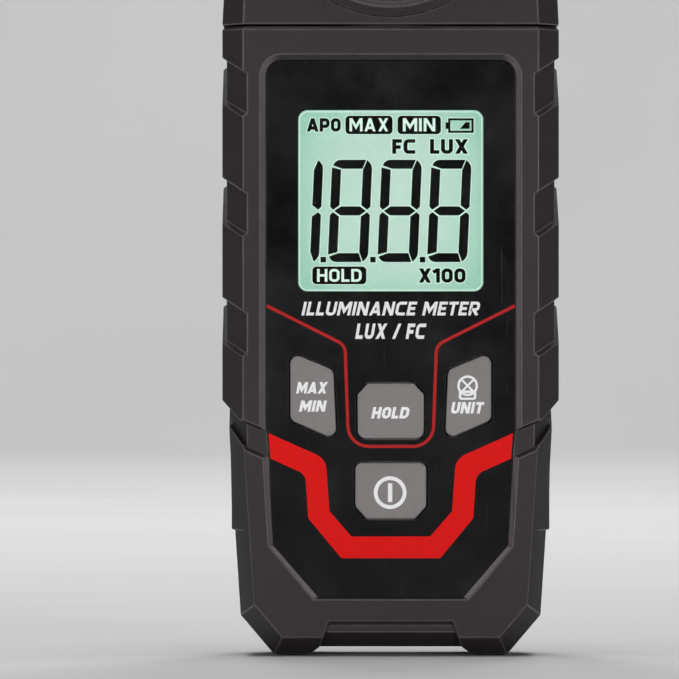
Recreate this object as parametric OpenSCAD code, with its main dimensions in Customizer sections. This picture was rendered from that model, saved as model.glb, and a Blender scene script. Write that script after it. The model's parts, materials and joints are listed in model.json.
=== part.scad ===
// Handheld light meter: a sensor head with an opal dome swivels on a grip body that holds
// a display, four keys, a main board and a battery bay.
// +X is to the right of the display, -Y is the display side and +Z runs up towards the head.

/* [Case] */
// Width across the grip
grip_w = 54; // [53:0.5:56]
// Depth from the bezel to the back
case_d = 28; // [28:0.5:30]
// Height of the body below the swivel seam
body_h = 100.6; // [100:0.2:103]
// Depth of the grooves across the grip
groove_depth = 0.7; // [0.4:0.1:1]
// Slant of the grip grooves, in degrees
groove_slant = 20; // [10:1:25]

/* [Head] */
// Height of the head above the seam
head_h = 47; // [46:0.5:50]
// Width of the seam between body and head
seam = 0.3; // [0.3:0.1:0.6]
// Radius of the raised ring round the dome
ring_r = 19.8; // [19:0.1:20]
// How far the dome stands in front of the bezel
dome_out = 6; // [5:0.5:8]
// Radius of the swivel spindle
spindle_r = 6; // [5.5:0.1:6.5]

/* [Display and keys] */
// Width of the clear window
window_w = 29.6; // [26:0.2:30]
// Height of the clear window
window_h = 29; // [26:0.2:29.4]
// Gap round each key
key_gap = 0.25; // [0.2:0.05:0.35]
// How far a key travels
key_travel = 0.6; // [0.4:0.1:0.7]

/* [Battery bay] */
// Diameter of a battery cell
cell_d = 10.4; // [10:0.1:10.5]
// Length of a battery cell
cell_l = 44.5; // [44:0.1:44.8]

/* [Hidden] */
$fn = 64;
reach = 200;
tiny = 0.02;
fit_gap = 0.1;

// Depths, measured from the middle of the case: the front is negative.
bezel_y = -case_d / 2;
back_y = case_d / 2;
bevel_d = 6;
side_y0 = bezel_y + bevel_d;
side_y1 = back_y - bevel_d;
panel_y = bezel_y + 0.9;
panel_t = 1;
deck_y = panel_y + panel_t;
deck_back_y = deck_y + 1.5;
board_y = deck_back_y + 5.1;
board_t = 1.6;
part_y = -1;
part_gap = 0.2;
wall_y = back_y - 2;

// Heights
head_z = body_h + seam;
top_z = head_z + head_h;
dome_z = head_z + 21.1;

// Widths, as half widths from the centre line
grip_x = grip_w / 2;
front_inset = 3.3;
back_inset = 3.5;
neck_x = grip_x - 1.5;
boot_x = grip_x - 1.1;
boot_end_x = 24.05;

// The whole model moves back so that the middle of its outer box is at y = 0.
swivel_y = dome_out / 2;

// ---------------------------------------------------------------- helpers

// A shape drawn in (x, z), as thick as y0 to y1.
module plate(y0, y1) {
    translate([0, y1, 0]) rotate([90, 0, 0]) linear_extrude(y1 - y0) children();
}

// A shape drawn in (x, y), from z0 up to z1.
module slab(z0, z1) {
    translate([0, 0, z0]) linear_extrude(z1 - z0) children();
}

// A shape drawn in (y, z), from x0 to x1.
module rib(x0, x1) {
    translate([x0, 0, 0]) rotate([90, 0, 90]) linear_extrude(x1 - x0) children();
}

// A rod along Y at (x, z).
module rod(pos, y0, y1, r) {
    translate([pos[0], y1, pos[1]]) rotate([90, 0, 0]) cylinder(h = y1 - y0, r = r);
}

module box2(x0, x1, z0, z1) {
    translate([x0, z0]) square([x1 - x0, z1 - z0]);
}

// Copies on the left and on the right.
module both_sides() {
    children();
    mirror([1, 0, 0]) children();
}

// An outline of right-hand points, closed by their mirror images.
function mirrored(half) =
    concat(half, [for (i = [len(half) - 1:-1:0]) [-half[i][0], half[i][1]]]);

// An outline in (x, z) swept through offsets [x, y, z]; its sections stay upright.
module swept(outline, path) {
    n = len(outline);
    last = (len(path) - 1) * n;
    points = [for (at = path) for (p = outline) [p[0] + at[0], at[1], p[1] + at[2]]];
    front = [for (i = [n - 1:-1:0]) i];
    back = [for (i = [0:n - 1]) last + i];
    sides = [
        for (k = [0:len(path) - 2]) for (i = [0:n - 1])
            [k * n + i, k * n + (i + 1) % n, (k + 1) * n + (i + 1) % n, (k + 1) * n + i]
    ];
    polyhedron(points, concat([front, back], sides));
}

// A solid between one outline at y0 and another, with as many points, at y1.
module tapered(front_outline, back_outline, y0, y1) {
    n = len(front_outline);
    points = concat(
        [for (p = front_outline) [p[0], y0, p[1]]],
        [for (p = back_outline) [p[0], y1, p[1]]]
    );
    polyhedron(points, concat(
        [[for (i = [n - 1:-1:0]) i]],
        [[for (i = [0:n - 1]) n + i]],
        [for (i = [0:n - 1]) [i, (i + 1) % n, n + (i + 1) % n]],
        [for (i = [0:n - 1]) [i, n + (i + 1) % n, n + i]]
    ));
}

// Direction of an outline's edge from p to q, as the angle of its outward normal.
function normal_angle(p, q) = atan2(p[0] - q[0], q[1] - p[1]);

// A convex outline in (x, z), as thick as y0 to y1, with each edge bevelled towards the front
// and the back by its own insets.
module bevelled_block(outline, y0, y1, front, back) {
    intersection_for(i = [0:len(outline) - 1]) {
        p = outline[i];
        q = outline[(i + 1) % len(outline)];
        translate([p[0], 0, p[1]])
            rotate([0, -normal_angle(p, q), 0])
                translate([0, 0, -reach])
                    linear_extrude(2 * reach)
                        polygon([
                            [-reach, y0], [-front[i], y0], [0, y0 + bevel_d],
                            [0, y1 - bevel_d], [-back[i], y1], [-reach, y1]
                        ]);
    }
}

// A round wire along points, with the given number of sides.
function unit(v) = v / norm(v);
function wire_dir(path, i) =
    unit(path[min(i + 1, len(path) - 1)] - path[max(i - 1, 0)]);
module wire(path, r, sides = 8) {
    rings = [
        for (i = [0:len(path) - 1])
            let (d = wire_dir(path, i),
                 u = unit(cross(d, [0.31, 0.95, 0.05])),
                 v = cross(d, u))
            for (k = [0:sides - 1])
                path[i] + r * (cos(360 * k / sides) * u + sin(360 * k / sides) * v)
    ];
    last = (len(path) - 1) * sides;
    polyhedron(rings, concat(
        [[for (k = [0:sides - 1]) k]],
        [[for (k = [sides - 1:-1:0]) last + k]],
        [for (i = [0:len(path) - 2]) for (k = [0:sides - 1])
            [i * sides + k, (i + 1) * sides + k,
             (i + 1) * sides + (k + 1) % sides, i * sides + (k + 1) % sides]]
    ));
}

// A pan-head screw that points towards -Y, with a cross recess in its head.
module screw(pos, head_y, length, r, head_r, head_t) {
    difference() {
        union() {
            rod(pos, head_y, head_y + head_t, head_r);
            rod(pos, head_y - length, head_y + tiny, r);
        }
        for (turn = [0, 90])
            translate([pos[0], head_y + head_t, pos[1]]) rotate([0, turn + 20, 0])
                cube([1.3 * head_r, head_t, 0.22 * head_r], center = true);
    }
}

// ---------------------------------------------------------------- outlines

// The black panel: straight sides, then a taper, then cut corners. A larger g gives the rim
// round it, which is narrow along the bottom.
panel_x = 19.9;
panel_top = 95.2;
panel_corner_r = 2.5;

function corner_arc(centre, r) = [for (k = [0:6]) centre + r * [cos(15 * k), sin(15 * k)]];

function panel_points(g) = mirrored(concat(
    [[11.6 + 0.8 * g, 9.3 - 0.4 * g], [18.7 + 0.85 * g, 17.5], [19.5 + 0.95 * g, 32], [panel_x + g, 36]],
    corner_arc([panel_x - panel_corner_r, panel_top - panel_corner_r], panel_corner_r + g)
));

module panel_shape(g = 0) {
    polygon(panel_points(g));
}

// Keys: the outline that shows, drawn about the key's own place.
hold_pos = [0, 39.1];
power_pos = [0, 26.3];
side_key_half = [[9.15, 45.65], [16.1, 48.5], [16.1, 37.6], [8.65, 34.35]];

module rounded(r) {
    offset(r = r) offset(delta = -r) children();
}

module hold_shape() {
    intersection() {
        rounded(1.3) polygon(mirrored([[5.3, 34.65], [5.35, 44], [5.35, 46]]));
        polygon(mirrored([[7, 30], [5.35, 41.7], [3.7, 43.5]]));
    }
}

module power_shape() {
    intersection() {
        rounded(1.1) polygon(mirrored([[5.4, 18], [5.7, 24.4], [5.7, 30.8]]));
        polygon(mirrored([[3.9, 21.8], [5.7, 23.8], [8, 36]]));
    }
}

module unit_shape() {
    rounded(1.25) polygon(side_key_half);
}

module max_min_shape() {
    mirror([1, 0]) unit_shape();
}

// ---------------------------------------------------------------- outer form

slant_rise = tan(groove_slant);

// Height of a V line that falls towards the centre line, at half width x.
v_slope = 0.45;
function v_at(z, x) = z + v_slope * (x - 20);
function below_v(z) = [
    [-reach, -reach], [reach, -reach], [reach, v_at(z, reach)], [0, v_at(z, 0)],
    [-reach, v_at(z, reach)]
];
function above_v(z) = [
    [-reach, v_at(z, reach)], [0, v_at(z, 0)], [reach, v_at(z, reach)], [reach, reach],
    [-reach, reach]
];

grip_end_z = 36.1;
grip_ramp = 0.4;
boot_top_z = 32;
boot_ramp = 0.75;

boot_half = [
    [0, 0], [18.7, 0], [boot_end_x, 6.3], [boot_x, 34.8], [boot_x, 60]
];
boot_outline = [
    [-18.7, 0], [18.7, 0], [boot_end_x, 6.3], [boot_x, 34.8], [boot_x, 60],
    [-boot_x, 60], [-boot_x, 34.8], [-boot_end_x, 6.3]
];
boot_front = [2.8, 2.8, 2.3, 2.4, 0, 2.4, 2.3, 2.8];
boot_back = [3, 3, 3, 3, 0, 3, 3, 3];

// Grooves that slant back and up across the grip. Each is as deep as the grip's side allows.
groove_tops = [93.4, 74.2, 55];
groove_h = 7.1;
groove_lead = 0.35;

module grip_grooves() {
    out = grip_x - front_inset;
    for (z = groove_tops)
        swept(
            [
                [out - groove_depth, z - groove_h + groove_lead], [out + 0.4, z - groove_h - groove_lead],
                [out + 3, z - groove_h - groove_lead], [out + 3, z + groove_lead],
                [out + 0.4, z + groove_lead], [out - groove_depth, z - groove_lead]
            ],
            [
                [-0.5 * front_inset / bevel_d, bezel_y - 0.5, -0.5 * slant_rise],
                [front_inset, side_y0, bevel_d * slant_rise],
                [front_inset, side_y1, (side_y1 - bezel_y) * slant_rise],
                [front_inset - back_inset * 6.5 / bevel_d, back_y + 0.5, (case_d + 0.5) * slant_rise]
            ]
        );
}

// The section of the grip in (x, y), scaled about the middle.
function grip_section(k) = [
    for (p = [
        [front_inset - grip_x, bezel_y], [grip_x - front_inset, bezel_y], [grip_x, side_y0],
        [grip_x, side_y1], [grip_x - back_inset, back_y], [back_inset - grip_x, back_y],
        [-grip_x, side_y1], [-grip_x, side_y0]
    ]) k * p
];

// What the chamfer round the top of the grip leaves.
module top_chamfer(c = 0.5) {
    slab(0, body_h - c) square(2 * reach, center = true);
    rotate([-90, 0, 0])
        tapered(grip_section(1 - 0.9 * c / case_d), grip_section(1 + tiny / 10), -body_h, tiny - body_h + c);
}

module grip_block() {
    difference() {
        intersection() {
            bevelled_block(
                [[-grip_x, 20], [grip_x, 20], [grip_x, body_h], [-grip_x, body_h]],
                bezel_y, back_y, [0, front_inset, 0, front_inset], [0, back_inset, 0, back_inset]
            );
            top_chamfer();
        }
        both_sides() grip_grooves();
        swept(below_v(grip_end_z), [[0, bezel_y - 0.1, 0], [0, panel_y, -grip_ramp]]);
        swept(below_v(grip_end_z - grip_ramp), [
            [0, panel_y - tiny, 0], [0, back_y + 1, (back_y + 1 - panel_y) * slant_rise]
        ]);
    }
}

// The body shows its core between the grip and the boot.
module neck_block() {
    bevelled_block(
        [[-neck_x, 20], [neck_x, 20], [neck_x, 50], [-neck_x, 50]],
        panel_y, back_y, [0, 2.5, 0, 2.5], [0, back_inset - 1.5, 0, back_inset - 1.5]
    );
}

module boot_block() {
    difference() {
        bevelled_block(boot_outline, bezel_y, back_y, boot_front, boot_back);
        swept(above_v(boot_top_z - boot_ramp), [[0, bezel_y - 0.1, 0], [0, panel_y, boot_ramp]]);
        swept(above_v(boot_top_z), [
            [0, panel_y - tiny, 0], [0, back_y + 1, (back_y + 1 - panel_y) * slant_rise]
        ]);
        foot_recess();
    }
}

// The bottom edge steps up between the two corner feet.
module foot_recess() {
    step = 1.25;
    ledge = 0.8;
    difference() {
        plate(bezel_y - 1, back_y + 1)
            polygon(mirrored([[13.5, -0.4], [11.4, step], [9.9, 5.55]]));
        rib(-reach, reach) polygon([
            [bezel_y, 5.55], [bezel_y + ledge, 4.8], [bezel_y + ledge, 3.65], [side_y0, step],
            [side_y1, step], [back_y - ledge, 3.65], [back_y - ledge, 4.8], [back_y, 5.55],
            [back_y, 20], [bezel_y, 20]
        ]);
    }
}

module body_outer() {
    union() {
        grip_block();
        neck_block();
        boot_block();
    }
}

// The hollow inside the body, smaller by the given inset.
module body_hollow(inset = 0) {
    y0 = deck_back_y + inset;
    y1 = wall_y - inset;
    side = 24.3 - inset;
    slab(30, body_h - 2 - inset) polygon([
        [-side + 1.6, y0], [side - 1.6, y0], [side, side_y0 + 0.4], [side, side_y1 - 0.4],
        [side - 2.3, y1], [-side + 2.3, y1], [-side, side_y1 - 0.4], [-side, side_y0 + 0.4]
    ]);
    plate(y0, y1) polygon(mirrored([
        [16.6 - inset / 2, 4.4 + inset], [20.2 - inset, 8.4 + inset / 2], [21.6 - inset, 31]
    ]));
}

module lower_half(y) {
    translate([-reach, -reach, -reach]) cube([2 * reach, reach + y, 2 * reach]);
}

module upper_half(y) {
    translate([-reach, y, -reach]) cube([2 * reach, reach, 2 * reach]);
}

// ---------------------------------------------------------------- fixings

case_screw_pos = [[-20.3, 91.5], [20.3, 91.5], [-12, 9.4], [12, 9.4]];
boss_r = 2.7;
pilot_r = 1;
screw_r = 0.98;
small_screw_r = 0.78;
clear_r = 1.4;
sink_r = 2.4;
sink_y = back_y - 1.8;
cover_floor_y = wall_y - 2;

board_screw_pos = [
    [-14.8, 95], [14.8, 95], [-14.5, 51.7], [14.5, 51.7], [-13.4, 16.2], [13.4, 16.2]
];

// ---------------------------------------------------------------- body shells

window_z = 58.2 + window_h / 2;
deck_window_w = window_w + 1.6;
deck_window_h = window_h + 1.4;

module deck_openings() {
    translate([0, window_z])
        box2(-deck_window_w / 2, deck_window_w / 2, -deck_window_h / 2, deck_window_h / 2);
    for (shape = [0:3]) offset(delta = key_gap) key_shape(shape);
}

module key_shape(i) {
    if (i == 0) max_min_shape();
    if (i == 1) hold_shape();
    if (i == 2) unit_shape();
    if (i == 3) power_shape();
}

// The pocket for the panel, with a sloping wall all round it.
rim_w = 0.95;

module panel_pocket() {
    plate(panel_y, deck_y) panel_shape(fit_gap / 2);
    tapered(panel_points(1.2 * rim_w), panel_points(fit_gap / 2), bezel_y - 0.2, panel_y + tiny);
}

bush_r = 8.4;
bush_flange_r = 10;

module neck_opening() {
    slab(body_h - 3, body_h + 1) circle(bush_r + fit_gap / 2);
    slab(body_h - 4.3, body_h - 2) circle(bush_flange_r + fit_gap / 2);
}

module front_case() {
    color([0.23, 0.22, 0.24]) difference() {
        union() {
            difference() {
                intersection() {
                    body_outer();
                    lower_half(part_y - part_gap / 2);
                }
                body_hollow();
            }
            for (pos = case_screw_pos) rod(pos, deck_back_y - 0.8, part_y - part_gap / 2, boss_r);
            for (pos = board_screw_pos) rod(pos, deck_back_y - 0.2, board_y, 1.8);
        }
        panel_pocket();
        plate(deck_y - 0.1, deck_back_y + 0.1) deck_openings();
        for (pos = case_screw_pos) rod(pos, part_y - 9, part_y + 1, pilot_r);
        for (pos = board_screw_pos) rod(pos, board_y - 4.4, board_y + 1, 0.8);
        neck_opening();
    }
}

// Battery bay: an open box behind the board, closed by the cover.
cell_pitch = cell_d + 0.3;
bay_x = 1.5 * cell_pitch + 0.15;
bay_z0 = 13.4;
bay_h = cell_l + 6;
bay_z1 = bay_z0 + bay_h;
bay_y = -0.2;
bay_wall = 1.2;
cover_x = 17.8;
cover_z0 = 6.6;
cover_z1 = bay_z1 + 5.2;
cover_screw_pos = [0, bay_z1 + 2.5];
cell_y = bay_y + cell_d / 2 + 0.35;

module cover_shape(grow = 0) {
    offset(delta = grow) polygon(mirrored([
        [14.6, cover_z0], [cover_x, 11], [cover_x, cover_z1 - 2], [cover_x - 2, cover_z1]
    ]));
}

module rear_case() {
    lip_y = part_y - 1.4;
    color([0.2, 0.19, 0.21]) difference() {
        union() {
            difference() {
                intersection() {
                    body_outer();
                    upper_half(part_y + part_gap / 2);
                }
                body_hollow();
            }
            // A lip that reaches inside the front shell
            difference() {
                intersection() {
                    body_hollow(0.15);
                    plate(lip_y, part_y + 1.2) box2(-reach, reach, 3, body_h - 2.15);
                }
                body_hollow(1);
                for (pos = case_screw_pos) rod(pos, -10, 10, boss_r + 0.3);
            }
            difference() {
                intersection() {
                    body_hollow(-0.3);
                    plate(part_y + part_gap / 2, part_y + 1.2) box2(-reach, reach, 3, body_h - 2);
                }
                body_hollow(1);
            }
            for (pos = case_screw_pos) rod(pos, part_y - part_gap / 2, wall_y + 0.5, boss_r);
            rod(cover_screw_pos, cover_floor_y - 6, wall_y, 2.5);
            battery_tray();
        }
        plate(bay_y, back_y + 1) box2(-bay_x, bay_x, bay_z0, bay_z1);
        plate(wall_y, back_y + 1) cover_shape(0.15);
        contact_slots();
        for (i = [0:3]) {
            rod(case_screw_pos[i], part_y - 1, back_y + 1, clear_r);
            rod(case_screw_pos[i], i < 2 ? sink_y : wall_y - 1.7, back_y + 1, sink_r);
        }
        rod(cover_screw_pos, cover_floor_y - 5, wall_y + 1, 0.9);
        plate(back_y - 0.3, back_y + 1) label_shape(0.1);
        neck_opening();
    }
}

module battery_tray() {
    plate(bay_y - bay_wall, wall_y + 0.1)
        box2(-bay_x - bay_wall, bay_x + bay_wall, bay_z0 - bay_wall, bay_z1 + bay_wall);
    plate(cover_floor_y, wall_y + 0.1) cover_shape(1);
}

// Slots where the contacts pass through the top wall of the bay.
lead_x = [-cell_pitch, cell_pitch];
module contact_slots() {
    for (x = lead_x)
        slab(bay_z1 - 0.5, bay_z1 + bay_wall + 0.5)
            translate([x - 1.3, bay_y + 1.7]) square([2.6, 0.8]);
}

module label_shape(grow = 0) {
    offset(delta = grow) rounded(1.5) box2(-15, 15, 73, 89);
}

// ---------------------------------------------------------------- panel and display

module front_panel() {
    color([0.05, 0.05, 0.06]) plate(panel_y, deck_y) difference() {
        panel_shape();
        window_shape();
        for (i = [0:3]) offset(delta = key_gap) key_shape(i);
    }
}

module window_shape(grow = 0) {
    offset(delta = grow) translate([0, window_z]) rounded(1.5)
        square([window_w, window_h], center = true);
}

module display_window() {
    color([0.8, 0.95, 0.9, 0.3]) plate(panel_y, deck_y) window_shape();
}

lcd_y = deck_back_y + 0.1;
lcd_t = 1.6;
lcd_x = 16.2;
lcd_z0 = window_z - window_h / 2 - 2.6;
lcd_z1 = window_z + window_h / 2 + 3.8;
strip_h = 1.5;

module lcd_glass() {
    color([0.7, 0.87, 0.78]) plate(lcd_y, lcd_y + lcd_t) box2(-lcd_x, lcd_x, lcd_z0, lcd_z1);
}

module lcd_frame() {
    color([0.85, 0.85, 0.83]) plate(lcd_y, board_y) difference() {
        box2(-lcd_x - 0.9, lcd_x + 0.9, lcd_z0 - 0.8, lcd_z1 + 0.8);
        box2(-lcd_x - 0.1, lcd_x + 0.1, lcd_z0 - 0.1, lcd_z1 + 0.1);
    }
}

module backlight_plate() {
    color([0.75, 0.95, 0.85]) plate(lcd_y + lcd_t + 0.1, lcd_y + lcd_t + 2.5)
        box2(-lcd_x + 0.7, lcd_x - 1, lcd_z0 + strip_h + 0.7, lcd_z1 - strip_h - 0.7);
}

module backlight_leds() {
    color([0.95, 0.95, 0.8]) for (z = [-9, 0, 9])
        plate(board_y - 1.7, board_y)
            box2(lcd_x - 0.9, lcd_x - 0.1, window_z + z - 1.5, window_z + z + 1.5);
}

module zebra_strips() {
    color([0.3, 0.32, 0.35]) for (z = [lcd_z0 + 0.2, lcd_z1 - 0.2 - strip_h])
        plate(lcd_y + lcd_t, board_y) box2(-lcd_x + 0.8, lcd_x - 0.8, z, z + strip_h);
}

// ---------------------------------------------------------------- boards

board_x = 17.2;
board_notch_z = 92.8;

module board_shape() {
    difference() {
        polygon(mirrored([[15, 12.6], [board_x, 14.8], [board_x, 97.4], [12, 97.4], [12, board_notch_z]]));
        for (pos = board_screw_pos) translate(pos) circle(1.1);
    }
}

module main_board() {
    color([0.08, 0.35, 0.16]) plate(board_y, board_y + board_t) board_shape();
}

module board_screws() {
    color([0.75, 0.75, 0.77]) for (pos = board_screw_pos)
        screw(pos, board_y + board_t, 5, small_screw_r, 1.6, 1);
}

board_back_y = board_y + board_t;

module mcu_chip() {
    color([0.1, 0.1, 0.1]) {
        plate(board_back_y + 0.1, board_back_y + 1.5) box2(-5, 5, 66, 76);
        for (turn = [0:90:270]) translate([0, 0, 71]) rotate([0, turn, 0])
            for (i = [-5:5])
                translate([i * 0.8 - 0.15, board_back_y, 4.9]) cube([0.3, 0.3, 1.2]);
    }
}

// Small parts soldered to the back of the main board, as [x, z, width, height, thickness].
component_list = [
    [-11, 78, 4.9, 3.9, 1.5], [11, 66, 3, 3, 1.1], [-9.4, 69.4, 2.4, 1.4, 0.7],
    [-9.4, 67.2, 2.4, 1.4, 0.7], [10.5, 79.5, 5, 3.2, 1.4], [9, 72.5, 1.6, 0.8, 0.5],
    [9, 70.8, 1.6, 0.8, 0.5], [-9.2, 73.5, 1.6, 0.8, 0.5], [-9.2, 71.8, 1.6, 0.8, 0.5],
    [12.4, 72, 2, 1.2, 0.8], [0, 61, 6, 4, 1.3], [-7, 61, 2, 1.2, 0.8], [7, 61, 2, 1.2, 0.8]
];

module board_components() {
    color([0.25, 0.22, 0.18]) for (c = component_list)
        plate(board_back_y, board_back_y + c[4])
            box2(c[0] - c[2] / 2, c[0] + c[2] / 2, c[1] - c[3] / 2, c[1] + c[3] / 2);
}

socket_z = 84;
module sensor_socket() {
    color([0.93, 0.91, 0.85]) difference() {
        plate(board_back_y, board_back_y + 4.4) box2(-3.4, 3.4, socket_z - 3, socket_z + 3);
        slab(socket_z - 1.5, socket_z + 4) translate([-2.5, board_back_y + 1.4]) square([5, 2.3]);
    }
}

// ---------------------------------------------------------------- keys and switches

key_face_y = panel_y + 0.3;
flange_y = deck_back_y + 0.05;
flange_t = 0.8;
stem_y = board_y - 2.1;
switch_pos = [[-12.5, 41.6], [0, 39.1], [12.5, 41.6], [0, 26.3]];
switch_top_y = board_y - 1.4;

module key_cap(i) {
    color([0.55, 0.53, 0.52]) {
        plate(key_face_y, flange_y + tiny) key_shape(i);
        plate(flange_y, flange_y + flange_t) offset(delta = 0.9) key_shape(i);
        rod(switch_pos[i], flange_y + flange_t - tiny, stem_y, 1.9);
    }
}

module key_max_min() { key_cap(0); }
module key_hold() { key_cap(1); }
module key_unit() { key_cap(2); }
module key_power() { key_cap(3); }

module plunger(i) {
    color([0.1, 0.1, 0.1]) rod(switch_pos[i], stem_y, board_y - 1, 1.2);
}

module plunger_max_min() { plunger(0); }
module plunger_hold() { plunger(1); }
module plunger_unit() { plunger(2); }
module plunger_power() { plunger(3); }

module switch_bodies() {
    color([0.7, 0.71, 0.73]) for (pos = switch_pos) difference() {
        plate(switch_top_y, board_y) translate(pos) square([4.8, 4.8], center = true);
        rod(pos, switch_top_y - 1, board_y - 0.2, 1.26);
    }
}

module snap_domes() {
    color([0.85, 0.83, 0.75]) for (pos = switch_pos) rod(pos, board_y - 0.34, board_y - 0.22, 1.2);
}

// ---------------------------------------------------------------- batteries

module battery_cover() {
    color([0.2, 0.19, 0.21]) difference() {
        union() {
            plate(wall_y + 0.02, back_y) cover_shape();
            // Ribs that press on the cells
            for (z = [22, 50])
                plate(cell_y + cell_d / 2 + 0.1, wall_y + 0.2)
                    box2(-bay_x + 1, bay_x - 1, z, z + 1.2);
        }
        for (k = [0:4]) rib(-7 + k * 0.8, 7 - k * 0.8)
            translate([back_y, 54 - 2.2 * k]) rotate(45) square(0.9, center = true);
        rod(cover_screw_pos, wall_y - 1, back_y + 1, 1.25);
        rod(cover_screw_pos, back_y - 1.2, back_y + 1, 2.2);
    }
}

module cover_pad() {
    color([0.15, 0.15, 0.16]) plate(cell_y + cell_d / 2 + 0.05, wall_y + 0.02)
        box2(-bay_x + 1.2, bay_x - 1.2, 31, 43);
}

module cover_screw() {
    color([0.7, 0.7, 0.72]) screw(cover_screw_pos, back_y - 1.2, 5.5, 0.85, 1.95, 1);
}

plate_t = 0.3;
cell_low = bay_z0 + plate_t + 0.05;
cell_high = bay_z1 - plate_t - 0.05 - cell_l;

// Cells lie side by side, and the middle one is turned end for end.
module battery_cells() {
    for (i = [-1, 1]) translate([i * cell_pitch, cell_y, cell_high]) battery_cell();
    translate([0, cell_y, cell_low + cell_l]) mirror([0, 0, 1]) battery_cell();
}

module battery_cell() {
    nub = 1;
    color([0.75, 0.6, 0.25]) {
        cylinder(h = cell_l - nub, d = cell_d);
        translate([0, 0, cell_l - nub - tiny]) cylinder(h = nub + tiny, r = 1.9);
    }
}

// Conical coil springs at the negative ends: a wire wound by a loop.
spring_turns = 3.5;
module coil_spring(length) {
    steps = 10 * spring_turns;
    wire([
        for (i = [0:steps])
            let (a = 360 * i / 10, r = 3.2 - 1.2 * i / steps)
            [r * cos(a), r * sin(a), length * i / steps]
    ], 0.3, 5);
}

module battery_springs() {
    base = bay_z0 + plate_t + 0.35;
    cap = bay_z1 - plate_t - 0.35;
    length = cell_high - 0.35 - base;
    color([0.8, 0.8, 0.82]) {
        for (i = [-1, 1]) translate([i * cell_pitch, cell_y, base]) coil_spring(length);
        translate([0, cell_y, cap]) mirror([0, 0, 1]) coil_spring(length);
    }
}

// Spring plates at both ends of the bay; two of them carry tabs out through its top wall.
module battery_contacts() {
    plate_w = cell_d - 1.4;
    color([0.82, 0.8, 0.72]) {
        for (i = [-1:1]) for (z = [bay_z0, bay_z1 - plate_t])
            translate([i * cell_pitch - plate_w / 2, bay_y + 1, z])
                cube([plate_w, cell_d - 1, plate_t]);
        for (x = lead_x) translate([x - 1.1, bay_y + 1.8, bay_z1 - tiny])
            cube([2.2, 0.6, bay_wall + 2]);
    }
}

module battery_leads() {
    z0 = bay_z1 + bay_wall + 2;
    for (side = [-1, 1]) color(side < 0 ? [0.7, 0.1, 0.08] : [0.08, 0.08, 0.08])
        wire([
            [side * cell_pitch, bay_y + 2.1, z0], [side * cell_pitch, bay_y + 2.1, z0 + 0.8],
            [side * 11.4, bay_y + 1.7, z0 + 2], [side * 12.3, bay_y + 0.4, z0 + 2.9],
            [side * 13, -1.6, z0 + 3.2], [side * 13.3, -2.7, z0 + 3.2], [side * 13.3, board_back_y, z0 + 3.2]
        ], 0.55);
}

module case_screws() {
    color([0.55, 0.55, 0.57]) for (i = [0:3])
        screw(case_screw_pos[i], i < 2 ? sink_y : wall_y - 1.7, i < 2 ? 19 : 17, screw_r, 2.15, 1.2);
}

// ---------------------------------------------------------------- swivel neck

stop_half = 13;
stop_rest = 90;
swivel_min = -90;
swivel_max = 180;
stop_r = spindle_r + 1.6;
bush_z0 = body_h - 4.2;

// A wedge about Z from one angle to another, less than half a turn.
module wedge(a0, a1, r) {
    polygon([[0, 0], for (k = [0:6]) r * 1.2 * [cos(a0 + (a1 - a0) * k / 6), sin(a0 + (a1 - a0) * k / 6)]]);
}

// The bush that the spindle turns in, with a channel that stops the head at both ends of its turn.
module neck_bush() {
    a0 = stop_rest + swivel_max + stop_half + 2;
    a1 = stop_rest + swivel_min - stop_half - 2 + 360;
    color([0.85, 0.84, 0.8]) difference() {
        union() {
            slab(bush_z0, body_h - 2.1) circle(bush_flange_r);
            slab(bush_z0, body_h) circle(bush_r);
        }
        slab(bush_z0 - 1, body_h + 1) circle(spindle_r + 0.05);
        difference() {
            slab(body_h - 1.4, body_h + 1) circle(stop_r + 0.1);
            slab(body_h - 1.5, body_h + 2) wedge(a0, a1, stop_r);
        }
    }
}

module swivel_washer() {
    color([0.09, 0.09, 0.1]) slab(body_h, head_z) difference() {
        circle(12.5);
        circle(bush_r + 0.1);
    }
}

spindle_bore_r = spindle_r - 2.2;
spindle_z0 = body_h - 6.3;
collar_r = bush_r - 0.2;
flange_r = 10.8;
head_floor_z = head_z + 2;
spindle_screw_r = 9.2;

module swivel_spindle() {
    color([0.6, 0.61, 0.63]) difference() {
        union() {
            slab(spindle_z0, head_floor_z + 1.6) circle(spindle_r);
            slab(body_h + 0.05, head_floor_z + tiny) circle(collar_r);
            slab(head_floor_z, head_floor_z + 1.6) circle(flange_r);
            slab(body_h - 1.3, body_h + 0.1) intersection() {
                circle(stop_r);
                wedge(stop_rest - stop_half, stop_rest + stop_half, stop_r);
            }
        }
        slab(spindle_z0 - 1, head_floor_z + 3) circle(spindle_bore_r);
        difference() {
            slab(bush_z0 - 1.2, bush_z0 - 0.3) circle(spindle_r + 1);
            slab(bush_z0 - 2, bush_z0) circle(spindle_r - 0.7);
        }
        for (a = [0:120:240]) rotate(a) translate([spindle_screw_r, 0, head_floor_z - 1])
            cylinder(h = 4, r = 0.9);
    }
}

module spindle_screws() {
    color([0.75, 0.75, 0.77]) for (a = [0:120:240]) rotate(a) translate([spindle_screw_r, 0, 0]) {
        slab(head_floor_z - 1.6, head_floor_z + 1.61) circle(0.8);
        slab(head_floor_z + 1.6, head_floor_z + 2.4) circle(1.5);
    }
}

module spindle_clip() {
    color([0.65, 0.66, 0.68]) slab(bush_z0 - 1.15, bush_z0 - 0.35) difference() {
        circle(7.6);
        circle(spindle_r - 0.65);
        translate([0, -6]) square([7.2, 12], center = true);
    }
}

module wave_washer() {
    color([0.8, 0.8, 0.82]) slab(bush_z0 - 0.3, bush_z0) difference() {
        circle(8.8);
        circle(spindle_r + 0.2);
    }
}

// ---------------------------------------------------------------- sensor head

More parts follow.
